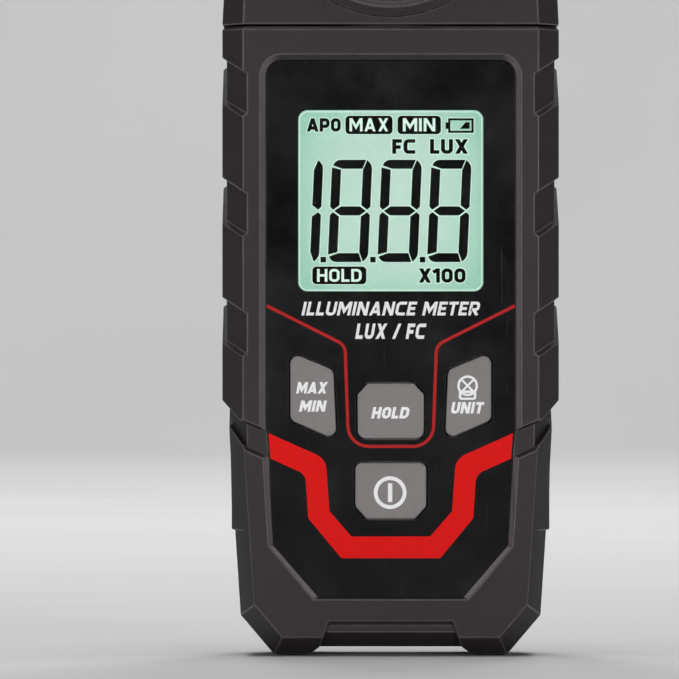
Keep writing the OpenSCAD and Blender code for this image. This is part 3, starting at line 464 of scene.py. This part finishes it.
NODE_MATERIAL = {
    "front_case": "case", "rear_case": "rear", "head_front_case": "case", "head_rear_case": "rear",
    "battery_cover": "rear", "sensor_ring": "ring", "front_panel": "panel", "display_window": "window",
    "lcd_glass": "lcd", "lcd_frame": "white", "backlight_plate": "guide", "backlight_leds": "guide",
    "zebra_strips": "rubber", "main_board": "board", "sensor_board": "board", "mcu_chip": "chip",
    "board_components": "chip", "sensor_socket": "white", "switch_bodies": "spring",
    "snap_domes": "spring", "key_max_min": "key", "key_hold": "key", "key_unit": "key",
    "key_power": "key", "plunger_max_min": "chip", "plunger_hold": "chip", "plunger_unit": "chip",
    "plunger_power": "chip", "cover_pad": "rubber", "battery_cells": "cell", "battery_springs": "spring",
    "battery_contacts": "spring", "battery_leads": "lead", "neck_bush": "white",
    "swivel_washer": "rubber", "swivel_spindle": "spring", "spindle_clip": "spring",
    "wave_washer": "spring", "diffuser_dome": "opal", "dome_gasket": "rubber",
    "light_filter": "filter", "filter_holder": "chip", "photodiode": "diode",
    "sensor_lead_head": "lead", "sensor_lead_body": "lead",
}

# Rounding of the moulded edges, in mm, on the pieces that show.
ROUND = {
    "front_case": 0.17, "rear_case": 0.15, "head_front_case": 0.22, "head_rear_case": 0.22,
    "battery_cover": 0.1, "sensor_ring": 0.2, "key_max_min": 0.24, "key_hold": 0.2,
    "key_unit": 0.24, "key_power": 0.24, "front_panel": 0.06,
}

# The material on the rounded edges, with its painted highlight and painted shade, for each material that has
# one of its own
EDGE_MATERIAL = {"case": "case_edge", "ring": "case_edge", "rear": "rear_edge"}

# Nodes with slivers a few hundredths of a millimetre wide, which their flat faces take in
SLIVERS = ("front_case",)

for name, obj in nodes.items():
    mesh = obj.data
    mesh.materials.clear()
    mesh.materials.append(M[NODE_MATERIAL.get(name, "steel")])
    mesh.polygons.foreach_set("use_smooth", [True] * len(mesh.polygons))
    if "custom_normal" in mesh.attributes:
        mesh.attributes.remove(mesh.attributes["custom_normal"])
    weld = obj.modifiers.new("weld", "WELD")
    weld.merge_threshold = 3e-5 if name in SLIVERS else 1e-6
    flat = obj.modifiers.new("flats", "DECIMATE")
    flat.decimate_type = "DISSOLVE"
    flat.angle_limit = math.radians(4.5 if name in SLIVERS else 0.4)
    flat.delimit = {"MATERIAL"}
    if name in SLIVERS:
        cut = obj.modifiers.new("cut", "TRIANGULATE")
        cut.quad_method = "BEAUTY"
        cut.ngon_method = "BEAUTY"
    if name in ROUND:
        bevel = obj.modifiers.new("round", "BEVEL")
        bevel.width = ROUND[name] * MM
        bevel.segments = 3
        bevel.limit_method = "ANGLE"
        bevel.angle_limit = math.radians(24)
        bevel.use_clamp_overlap = False
        bevel.miter_outer = "MITER_SHARP"
        bevel.harden_normals = False
        bevel.face_strength_mode = "FSTR_ALL"
        edge = EDGE_MATERIAL.get(NODE_MATERIAL[name])
        if edge:
            mesh.materials.append(M[edge])
            bevel.material = 1
    split = obj.modifiers.new("split", "EDGE_SPLIT")
    split.split_angle = math.radians(38)
    weigh = obj.modifiers.new("weigh", "WEIGHTED_NORMAL")
    weigh.mode = "FACE_AREA"
    weigh.weight = 60
    weigh.use_face_influence = name in ROUND

# The sloping rim round the panel is left smooth by the mould, and a painted highlight shows it lighter than
# the face.
# It takes its own slot, after the one that the rounded edges use. Sizes are in metres.
RIM_HALF_WIDTH = 0.0209
RIM_BOTTOM, RIM_TOP = 0.0085, 0.0965
case_mesh = nodes["front_case"].data
case_mesh.materials.append(M["rim"])
RIM_SLOT = len(case_mesh.materials) - 1
rim_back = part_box("front_panel")[0].y
rim_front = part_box("front_case")[0].y
for poly in case_mesh.polygons:
    c, n = poly.center, poly.normal
    inside = abs(c.x) < RIM_HALF_WIDTH and RIM_BOTTOM < c.z < RIM_TOP
    in_depth = rim_front - 1e-5 < c.y < rim_back + 3e-5
    if inside and in_depth and -0.97 < n.y < -0.2:
        poly.material_index = RIM_SLOT

# ------------------------------------------------------------------ flat printed pieces

root = bpy.context.scene.collection


def from_curve(curve, name):
    """A new mesh from a filled flat curve, still in the curve's own XY plane."""
    holder = bpy.data.objects.new(name + "_src", curve)
    root.objects.link(holder)
    bpy.context.view_layer.update()
    graph = bpy.context.evaluated_depsgraph_get()
    mesh = bpy.data.meshes.new_from_object(holder.evaluated_get(graph))
    bpy.data.objects.remove(holder)
    bpy.data.curves.remove(curve)
    mesh.name = name
    return mesh


def finish_flat(mesh, name, y_front, thick, material, body):
    """The mesh lies in (x, y) from z = -0.5 to 0.5: it becomes (x, z) with its front at y_front."""
    for v in mesh.vertices:
        x, z, d = v.co
        v.co = Vector((x * MM, (y_front + thick * (0.5 - d)) * MM, z * MM))
    mesh.materials.clear()
    mesh.materials.append(material)
    mesh.polygons.foreach_set("use_smooth", [False] * len(mesh.polygons))
    obj = bpy.data.objects.new(name, mesh)
    root.objects.link(obj)
    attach(obj, body)
    return obj


def shape(name, loops, y_front, thick, material, body="body"):
    """A flat piece from closed loops in (x, z) mm. A loop inside another is a hole."""
    curve = bpy.data.curves.new(name, "CURVE")
    curve.dimensions = "2D"
    curve.fill_mode = "BOTH"
    curve.extrude = 0.5
    for loop in loops:
        s = curve.splines.new("POLY")
        s.points.add(len(loop) - 1)
        for p, (x, z) in zip(s.points, loop):
            p.co = (x, z, 0, 1)
        s.use_cyclic_u = True
    return finish_flat(from_curve(curve, name), name, y_front, thick, material, body)


def fillet(points, radii, closed=True, steps=7):
    """Rounds each corner of a path of (x, z) points by its own radius."""
    out = []
    n = len(points)
    for i, p in enumerate(points):
        r = radii[i] if isinstance(radii, (list, tuple)) else radii
        if r <= 0 or (not closed and i in (0, n - 1)):
            out.append(p)
            continue
        a, b = Vector(points[i - 1]), Vector(points[(i + 1) % n])
        c = Vector(p)
        u, v = (a - c).normalized(), (b - c).normalized()
        half = math.acos(max(-1, min(1, u.dot(v)))) / 2
        t = min(r / math.tan(half), 0.49 * (a - c).length, 0.49 * (b - c).length)
        r = t * math.tan(half)
        centre = c + (u + v).normalized() * (r / math.sin(half))
        p0, p1 = c + u * t, c + v * t
        a0 = math.atan2(p0.y - centre.y, p0.x - centre.x)
        a1 = math.atan2(p1.y - centre.y, p1.x - centre.x)
        while a1 - a0 > math.pi:
            a1 -= 2 * math.pi
        while a1 - a0 < -math.pi:
            a1 += 2 * math.pi
        for k in range(steps + 1):
            ang = a0 + (a1 - a0) * k / steps
            out.append((centre.x + r * math.cos(ang), centre.y + r * math.sin(ang)))
    return out


def stroke(path, w):
    """The closed outline of an open path drawn w wide."""
    left, right = [], []
    n = len(path)
    for i, p in enumerate(path):
        p = Vector(p)
        d0 = (p - Vector(path[i - 1])).normalized() if i else None
        d1 = (Vector(path[i + 1]) - p).normalized() if i < n - 1 else None
        d0, d1 = d0 or d1, d1 or d0
        m = (d0 + d1).normalized()
        normal = Vector((-m.y, m.x))
        k = w / 2 / max(0.3, m.dot(d0))
        left.append(tuple(p + normal * k))
        right.append(tuple(p - normal * k))
    return left + right[::-1]


# The widths of letters one unit high. A letter that isn't listed takes PLAIN_WIDTH.
LETTER_WIDTH = {
    "1": 0.45, "M": 0.98, "/": 0.5, "N": 0.8, "T": 0.68, "L": 0.58, "E": 0.62, "F": 0.6, "A": 0.86,
    " ": 0.3, "X": 0.86,
}
PLAIN_WIDTH = 0.74


def glyph(ch, t):
    """(width, strokes) of a letter with strokes t wide. A stroke is (path, radii, closed)."""
    h, top = t / 2, 1 - t / 2
    w = t if ch == "I" else LETTER_WIDTH.get(ch, PLAIN_WIDTH)
    e = w - h
    box = [(h, h), (e, h), (e, top), (h, top)]

    def bar(*path):
        return (list(path), 0, False)

    def bent(radii, *path):
        return (list(path), radii, False)

    post, far_post = bar((h, 0), (h, 1)), bar((e, 0), (e, 1))
    strokes = {
        "I": [post],
        "L": [bar((h, 1), (h, h), (w, h))],
        "U": [bent([0, 0.2, 0.2, 0], (h, 1), (h, h), (e, h), (e, 1))],
        "C": [bent([0, 0.2, 0.2, 0], (w, top), (h, top), (h, h), (w, h))],
        "O": [(box, 0.22, True)],
        "0": [(box, 0.22, True)],
        "D": [(box, [0, 0.26, 0.26, 0], True)],
        "P": [bent([0, 0, 0.18, 0.18, 0], (h, 0), (h, top), (e, top), (e, 0.4), (h, 0.4))],
        "R": [
            bent([0, 0, 0.18, 0.18, 0], (h, 0), (h, top), (e, top), (e, 0.42), (h, 0.42)),
            bar((0.45 * w, 0.44), (e + 0.02, 0)),
        ],
        "E": [bar((w, top), (h, top), (h, h), (w, h)), bar((h, 0.5), (0.9 * w, 0.5))],
        "F": [bar((w, top), (h, top), (h, 0)), bar((h, 0.46), (0.88 * w, 0.46))],
        "H": [post, far_post, bar((h, 0.5), (e, 0.5))],
        "M": [post, far_post, bar((h * 0.9, 1.04), (w / 2, 0.32), (w - 0.9 * h, 1.04))],
        "N": [post, far_post, bar((h * 0.9, 1.04), (w - 0.9 * h, -0.04))],
        "T": [bar((0, top), (w, top)), bar((w / 2, 0), (w / 2, top))],
        "X": [bar((0.13 * w, -0.1), (0.87 * w, 1.1)), bar((0.87 * w, -0.1), (0.13 * w, 1.1))],
        "A": [
            bar((0.1 * w, -0.1), (w / 2 + 0.02, 1.06)),
            bar((0.9 * w, -0.1), (w / 2 - 0.02, 1.06)),
            bar((0.25 * w, 0.27), (0.75 * w, 0.27)),
        ],
        "1": [far_post, bar((0.0, 0.72), (e, 0.93))],
        "/": [bar((0.06, -0.1), (w - 0.06, 1.1))],
        " ": [],
    }[ch]
    return w, strokes


def clip_band(poly, axis, limit, keep_below):
    """Cuts a convex or simple outline at one coordinate."""
    out = []
    for i, p in enumerate(poly):
        q = poly[i - 1]
        p_in = p[axis] <= limit if keep_below else p[axis] >= limit
        q_in = q[axis] <= limit if keep_below else q[axis] >= limit
        if p_in != q_in:
            k = (limit - q[axis]) / (p[axis] - q[axis])
            out.append((q[0] + k * (p[0] - q[0]), q[1] + k * (p[1] - q[1])))
        if p_in:
            out.append(p)
    return out


# How far a pale outline stands out round a letter one unit high, and how deep it lies behind it, in mm
HALO = 0.06
HALO_DEPTH = 0.015


def trimmed(outline, spill=0.0):
    """The outline cut off at the foot and the top of the line of letters."""
    return clip_band(clip_band(outline, 1, 1 + spill, True), 1, -spill, False)


def words(name, text, box, y_front, thick, material, body="body", weight=0.2, slant=0.0, gap=0.1, halo=None):
    """Letters built from strokes, fitted to box = (x0, x1, z0, z1) in mm, with a pale outline if asked."""
    loops, pale, at = [], [], 0.0
    for ch in text:
        w, strokes = glyph(ch, weight)
        for path, radii, closed in strokes:
            path = fillet(path, radii, closed, 6) if radii else path
            path = [(x + at, z) for x, z in path]
            if closed:
                loops.append(closed_stroke(path, weight))
                pale.append(closed_stroke(path, weight + 2 * HALO))
            else:
                loops.append((trimmed(stroke(path, weight)), None))
                pale.append((trimmed(stroke(grown(path, HALO), weight + 2 * HALO), HALO), None))
        at += w + gap

    def lean(pts):
        return [(x + slant * z, z) for x, z in pts]

    loops = [(lean(a), b and lean(b)) for a, b in loops]
    xs = [x for a, _ in loops for x, _ in a]
    x0, x1, z0, z1 = box
    kx, kz = (x1 - x0) / (max(xs) - min(xs)), z1 - z0

    def fit(pts):
        return [(x0 + (x - min(xs)) * kx, z0 + z * kz) for x, z in pts]

    prisms(name, [(fit(a), b and fit(b)) for a, b in loops], y_front, thick, material, body)
    if halo is not None:
        pale = [(fit(a), b and fit(b)) for a, b in pale]
        prisms(name + "_edge", pale, y_front + HALO_DEPTH, thick, halo, body)


def grown(path, d):
    """The path with both of its ends carried d further."""
    a, b = Vector(path[0]), Vector(path[1])
    y, z = Vector(path[-2]), Vector(path[-1])
    return [tuple(a + (a - b).normalized() * d)] + path[1:-1] + [tuple(z + (z - y).normalized() * d)]


def prisms(name, loops, y_front, thick, material, body):
    """One object of several prisms, at depths a micrometre apart so that no fronts coincide."""
    bm = bmesh.new()
    for k, (outer, inner) in enumerate(loops):
        lift = 0.001 * (k % 5)
        add_prism(bm, outer, inner, y_front + lift, y_front + thick + lift)
    bmesh.ops.recalc_face_normals(bm, faces=bm.faces)
    mesh = bpy.data.meshes.new(name)
    bm.to_mesh(mesh)
    bm.free()
    mesh.materials.append(material)
    obj = bpy.data.objects.new(name, mesh)
    root.objects.link(obj)
    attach(obj, body)
    return obj


def add_prism(bm, outer, inner, y0, y1):
    """A prism along y from an outline in (x, z) mm, or from the space between two such outlines."""

    def ring(pts, y):
        return [bm.verts.new((x * MM, y * MM, z * MM)) for x, z in pts]

    n = len(outer)
    f, b = ring(outer, y0), ring(outer, y1)
    for i in range(n):
        j = (i + 1) % n
        bm.faces.new((f[i], f[j], b[j], b[i]))
    if inner is None:
        bm.faces.new(f)
        bm.faces.new(b[::-1])
        return
    fi, bi = ring(inner, y0), ring(inner, y1)
    for i in range(n):
        j = (i + 1) % n
        bm.faces.new((fi[j], fi[i], bi[i], bi[j]))
        bm.faces.new((f[j], f[i], fi[i], fi[j]))
        bm.faces.new((b[i], b[j], bi[j], bi[i]))


def closed_stroke(path, w):
    """(outer, inner) outlines of a closed path drawn w wide, with as many points each."""
    outer, inner = [], []
    n = len(path)
    for i, p in enumerate(path):
        p = Vector(p)
        d0 = (p - Vector(path[i - 1])).normalized()
        d1 = (Vector(path[(i + 1) % n]) - p).normalized()
        m = (d0 + d1).normalized()
        normal = Vector((m.y, -m.x))
        k = w / 2 / max(0.3, m.dot(d0))
        outer.append(tuple(p + normal * k))
        inner.append(tuple(p - normal * k))
    return outer, inner


def ring_loops(cx, cz, r_out, r_in, n=48):
    """The outer and the inner circle of a flat ring."""
    turns = [2 * math.pi * k / n for k in range(n)]
    return [[(cx + r * math.cos(a), cz + r * math.sin(a)) for a in turns] for r in (r_out, r_in)]


def mirrored(points):
    """The path carried on over to the other side of x = 0."""
    return points + [(-x, z) for x, z in reversed(points)]


def rect(x0, x1, z0, z1, r=0.0):
    """An upright rectangle, with its corners rounded by r."""
    pts = [(x0, z0), (x1, z0), (x1, z1), (x0, z1)]
    return fillet(pts, r) if r else pts


# Depths in mm in the row frame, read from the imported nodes. INK and MARK are how thick a print and a
# display mark are.
INK = 0.04
MARK = 0.05
INK_STANDS_IN = 0.005
panel_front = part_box("front_panel")[0].y / MM - INK + INK_STANDS_IN
key_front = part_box("key_hold")[0].y / MM - INK + INK_STANDS_IN
lcd_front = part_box("lcd_glass")[0].y / MM - 0.06

# The red band and the fine red line on the panel. Each outline runs from the left edge to the middle
# and is carried on over to the right.
upper = [(-19.55, 35.5), (-10.4, 31.45), (-9.8, 23.05), (-6.3, 19.0), (0, 19.0)]
lower = [(-19.25, 31.45), (-13.67, 28.93), (-13.2, 21.9), (-7.9, 15.5), (0, 15.5)]
upper = fillet(upper, [0, 2.8, 0.5, 0.5, 0], False)
lower = fillet(lower, [0, 1.9, 0.6, 0.6, 0], False)
band = mirrored(upper[:-1]) + list(reversed(mirrored(lower[:-1])))
shape("red_band", [band], panel_front, INK, M["red_ink"])
half_line = fillet([(-19.85, 55.9), (-7.31, 49.6), (-6.75, 33.4), (0, 33.4)], [0, 2.0, 3.3, 0], False)
shape("red_line", [stroke(mirrored(half_line[:-1]), 0.5)], panel_front, INK, M["thin_ink"])

# Title
for name, text, box, weight, slant in (
    ("title_upper", "ILLUMINANCE METER", (-14.3, 14.3, 54.35, 56.55), 0.21, 0.22),
    ("title_lower", "LUX / FC", (-5.7, 5.7, 50.6, 53.05), 0.23, 0.2),
):
    words(name, text, box, panel_front, INK, M["white_ink"], weight=weight, slant=slant, gap=0.13)

# Key legends
for tag, text, box, key in (
    ("max", "MAX", (-15.15, -10.05, 41.85, 43.7), "key_max_min_body"),
    ("min", "MIN", (-14.7, -10.2, 38.95, 40.75), "key_max_min_body"),
    ("hold", "HOLD", (-3.15, 3.0, 37.85, 39.7), "key_hold_body"),
    ("unit", "UNIT", (9.65, 15.0, 38.65, 40.5), "key_unit_body"),
):
    name = "legend_" + tag
    words(name, text, box, key_front, INK, M["legend_ink"], key, weight=0.25, slant=0.2, gap=0.1)


def key_mark(name, loops, key, depth=0.0):
    """A flat mark printed on a key."""
    shape(name, loops, key_front + depth, INK, M["legend_ink"], key)


# The lamp on the unit key: a crossed circle over a small socket
lamp_x, lamp_z, arm = 12.3, 43.1, 0.95
key_mark("lamp_ring", ring_loops(lamp_x, lamp_z, 1.66, 1.27), "key_unit_body")
for k, rise in enumerate((arm, -arm)):
    cross = stroke([(lamp_x - arm, lamp_z - rise), (lamp_x + arm, lamp_z + rise)], 0.34)
    key_mark(f"lamp_cross_{k}", [cross], "key_unit_body", -0.004 * (k + 1))
socket = [rect(10.9, 13.7, 40.85, 42.35, 0.4), rect(11.3, 13.3, 41.2, 41.95, 0.15)]
key_mark("lamp_base", socket, "key_unit_body", 0.004)
key_mark("power_ring", ring_loops(-0.1, 26.0, 2.62, 2.0, 64), "key_power_body")
key_mark("power_bar", [rect(-0.45, 0.25, 24.5, 27.5)], "key_power_body")

# Display marks: the outline of each segment of a digit, from the digit's lower left corner
SLANT = 0.045
SEGMENTS = {
    "top": [
        (0.16, 15.5), (0.4, 15.95), (0.85, 16.3), (1.35, 16.4), (5.45, 16.4), (4.92, 14.95), (1.68, 14.95),
    ],
    "upper_left": [(0.0, 15.2), (1.5, 14.8), (1.5, 9.1), (0.5, 8.38), (0.0, 8.85)],
    "upper_right": [
        (5.62, 16.36), (6.05, 15.95), (6.36, 15.45), (6.45, 14.9), (6.45, 8.85), (5.95, 8.38), (4.98, 9.1),
        (4.98, 14.75),
    ],
    "middle": [(0.68, 8.2), (1.72, 8.93), (4.76, 8.93), (5.78, 8.2), (4.76, 7.47), (1.72, 7.47)],
    "lower_left": [(0.0, 1.2), (0.0, 7.55), (0.5, 8.02), (1.5, 7.3), (1.5, 1.6)],
    "lower_right": [
        (4.98, 1.65), (4.98, 7.3), (5.95, 8.02), (6.45, 7.55), (6.45, 1.5), (6.36, 0.95), (6.05, 0.45),
        (5.62, 0.04),
    ],
    "bottom": [(0.16, 0.9), (1.68, 1.45), (4.92, 1.45), (5.45, 0.0), (1.35, 0.0), (0.85, 0.1), (0.4, 0.45)],
}
DIGIT_Z = 62.9
glints = []


def mark(name, loops, edged=True):
    """A dark display mark. With edged, its outer outline also gets a pale edge."""
    shape(name, loops, lcd_front, MARK, M["segment"])
    if edged:
        glints.append(closed_stroke(loops[0], 0.26))


def digit(tag, x, names):
    """The named segments of one digit, leaning a little to the right."""
    for name in names:
        mark(f"digit_{tag}_{name}", [[(x + px + SLANT * pz, DIGIT_Z + pz) for px, pz in SEGMENTS[name]]])


def lcd_words(tag, text, box, gap):
    words("lcd_" + tag, text, box, lcd_front, MARK, M["segment"], weight=0.25, gap=gap, halo=M["halo"])


digit("a", -17.95, ["upper_right", "lower_right"])
for tag, x in (("b", -10.1), ("c", -2.15), ("d", 5.8)):
    digit(tag, x, list(SEGMENTS))
for k, x in enumerate((-11.25, -3.3, 4.65)):
    mark(f"point_{k}", [rect(x, x + 0.9, 62.85, 63.75)])
lcd_words("apo", "APO", (-13.45, -8.0, 83.8, 85.95), 0.09)
for tag, text, box, inner in (
    ("max", "MAX", (-7.25, 0.3, 83.4, 86.35), (-6.6, -0.4, 83.85, 85.95)),
    ("min", "MIN", (1.1, 8.05, 83.4, 86.35), (1.95, 7.15, 83.85, 85.95)),
    ("hold", "HOLD", (-12.55, -3.9, 59.35, 62.2), (-11.8, -4.66, 59.75, 61.8)),
):
    mark(f"badge_{tag}", [rect(*box, 0.65)])
    words(f"badge_{tag}_text", text, inner, lcd_front - MARK, 0.04, M["badge_text"], weight=0.19, gap=0.13)
mark("battery_icon", [rect(9.2, 13.3, 83.6, 85.95), rect(9.55, 12.95, 83.95, 85.6)])
mark("battery_nub", [rect(8.8, 9.2, 84.25, 85.3)], edged=False)
mark("battery_fill", [[(11.1, 84.25), (12.65, 84.25), (12.65, 85.3), (12.0, 85.3)]], edged=False)
lcd_words("fc", "FC", (0.25, 3.95, 80.25, 82.6), 0.1)
lcd_words("lux", "LUX", (6.3, 12.4, 80.25, 82.6), 0.1)
lcd_words("x100", "X100", (4.5, 12.0, 59.6, 61.9), 0.1)

# The pale outlines round the marks, and the brighter line that runs just inside the window, both a painted
# glow
prisms("mark_edges", glints, lcd_front + HALO_DEPTH, MARK, M["halo"], "body")
win_lo, win_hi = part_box("display_window")
inset = 0.22
left, right = win_lo.x / MM + inset, win_hi.x / MM - inset
border = rect(left, right, win_lo.z / MM + inset, win_hi.z / MM - inset, 1.3)
prisms("window_line", [closed_stroke(border, 0.2)], lcd_front + 0.02, 0.03, M["halo"], "body")

# ------------------------------------------------------------------ stage, light and camera


def stage_floor():
    """A pale floor that sweeps up into a narrower backdrop, far enough off for the camera to go round."""
    front, bend, r, height = -3.5, 2.8, 0.5, 1.8
    floor_half, backdrop_half, drop, steps = 3.5, 1.1, 0.0002, 12
    turns = [math.pi / 2 * k / steps for k in range(1, steps + 1)]
    pts = [(front, 0.0), (bend, 0.0)]
    pts += [(bend + r * math.sin(a), r - r * math.cos(a)) for a in turns]
    pts += [(bend + r, height)]
    verts, faces = [], []
    for y, z in pts:
        half = floor_half if y < bend + 0.1 else backdrop_half
        verts += [(-half, y, z - drop), (half, y, z - drop)]
    for i in range(len(pts) - 1):
        faces.append((2 * i, 2 * i + 1, 2 * i + 3, 2 * i + 2))
    mesh = bpy.data.meshes.new("floor")
    mesh.from_pydata(verts, [], faces)
    mesh.polygons.foreach_set("use_smooth", [True] * len(mesh.polygons))
    t = Tree("floor_pale")
    n = t.noise(6, 3.0, 0.5)
    t.link(t.mix(n, (0.62, 0.62, 0.62, 1), (0.68, 0.68, 0.68, 1)), t.bsdf.inputs["Base Color"])
    t.bsdf.inputs["Roughness"].default_value = 0.75
    t.bsdf.inputs["Specular IOR Level"].default_value = 0.0
    mesh.materials.append(t.mat)
    obj = bpy.data.objects.new("floor", mesh)
    root.objects.link(obj)


stage_floor()


def area(name, at, towards, size, power):
    """A white rectangular light that the camera doesn't see."""
    data = bpy.data.lights.new(name, "AREA")
    data.shape = "RECTANGLE"
    data.size, data.size_y = size
    data.energy = power
    obj = bpy.data.objects.new(name, data)
    obj.location = at
    obj.rotation_euler = (Vector(towards) - Vector(at)).to_track_quat("-Z", "Y").to_euler()
    obj.visible_camera = False
    root.objects.link(obj)


for side in (-1, 1):
    area("front", (side * 0.44, -1.08, 0.08), (0, 0, 0.06), (0.34, 0.3), 4.75)
    area("rear", (side * 0.3, 1.3, 1.5), (0, 0, 0.07), (0.4, 0.4), 9)
area("top", (0.0, -0.1, 1.8), (0, 0, 0), (1.4, 1.2), 16)
area("middle", (0.0, 1.7, 1.8), (0, 1.7, 0), (1.6, 0.9), 2)
area("back", (0.0, 2.2, 1.7), (0, 3.2, 0.2), (1.6, 0.5), 22)


def studio_world():
    """Dim walls all round, with a large soft pale panel to the left and to the right."""
    world = bpy.data.worlds.new("world")
    world.use_nodes = True
    nt = world.node_tree
    background = nt.nodes["Background"]
    coord = nt.nodes.new("ShaderNodeTexCoord")
    split = nt.nodes.new("ShaderNodeSeparateXYZ")
    size = nt.nodes.new("ShaderNodeMath")
    size.operation = "ABSOLUTE"
    ramp = nt.nodes.new("ShaderNodeMapRange")
    ramp.inputs["From Min"].default_value = 0.8
    ramp.inputs["From Max"].default_value = 0.97
    ramp.inputs["To Min"].default_value = 0.05
    ramp.inputs["To Max"].default_value = 0.3
    nt.links.new(coord.outputs["Generated"], split.inputs[0])
    nt.links.new(split.outputs["X"], size.inputs[0])
    nt.links.new(size.outputs[0], ramp.inputs["Value"])
    nt.links.new(ramp.outputs["Result"], background.inputs["Strength"])
    background.inputs["Color"].default_value = (0.97, 0.975, 1.0, 1)
    return world


bpy.context.scene.world = studio_world()
bpy.context.scene.view_settings.view_transform = "Standard"

# The camera looks straight at the display, from so far off that the view hardly narrows with depth.
# The view is VIEW_WIDTH wide at the plane of the panel. Sizes are in metres.
DIST = 1.6
VIEW_WIDTH = 0.1086
VIEW_X, VIEW_Z = -0.0082, 0.0505
PANEL_PLANE = -0.0105
cam_data = bpy.data.cameras.new("camera")
cam = bpy.data.objects.new("camera", cam_data)
root.objects.link(cam)
cam.location = (VIEW_X, PANEL_PLANE - DIST, VIEW_Z)
cam.rotation_euler = (math.radians(90), 0, 0)
cam_data.sensor_width = 36
cam_data.lens = cam_data.sensor_width * DIST / VIEW_WIDTH
cam_data.clip_start = 0.05
cam_data.clip_end = 20
bpy.context.scene.camera = cam
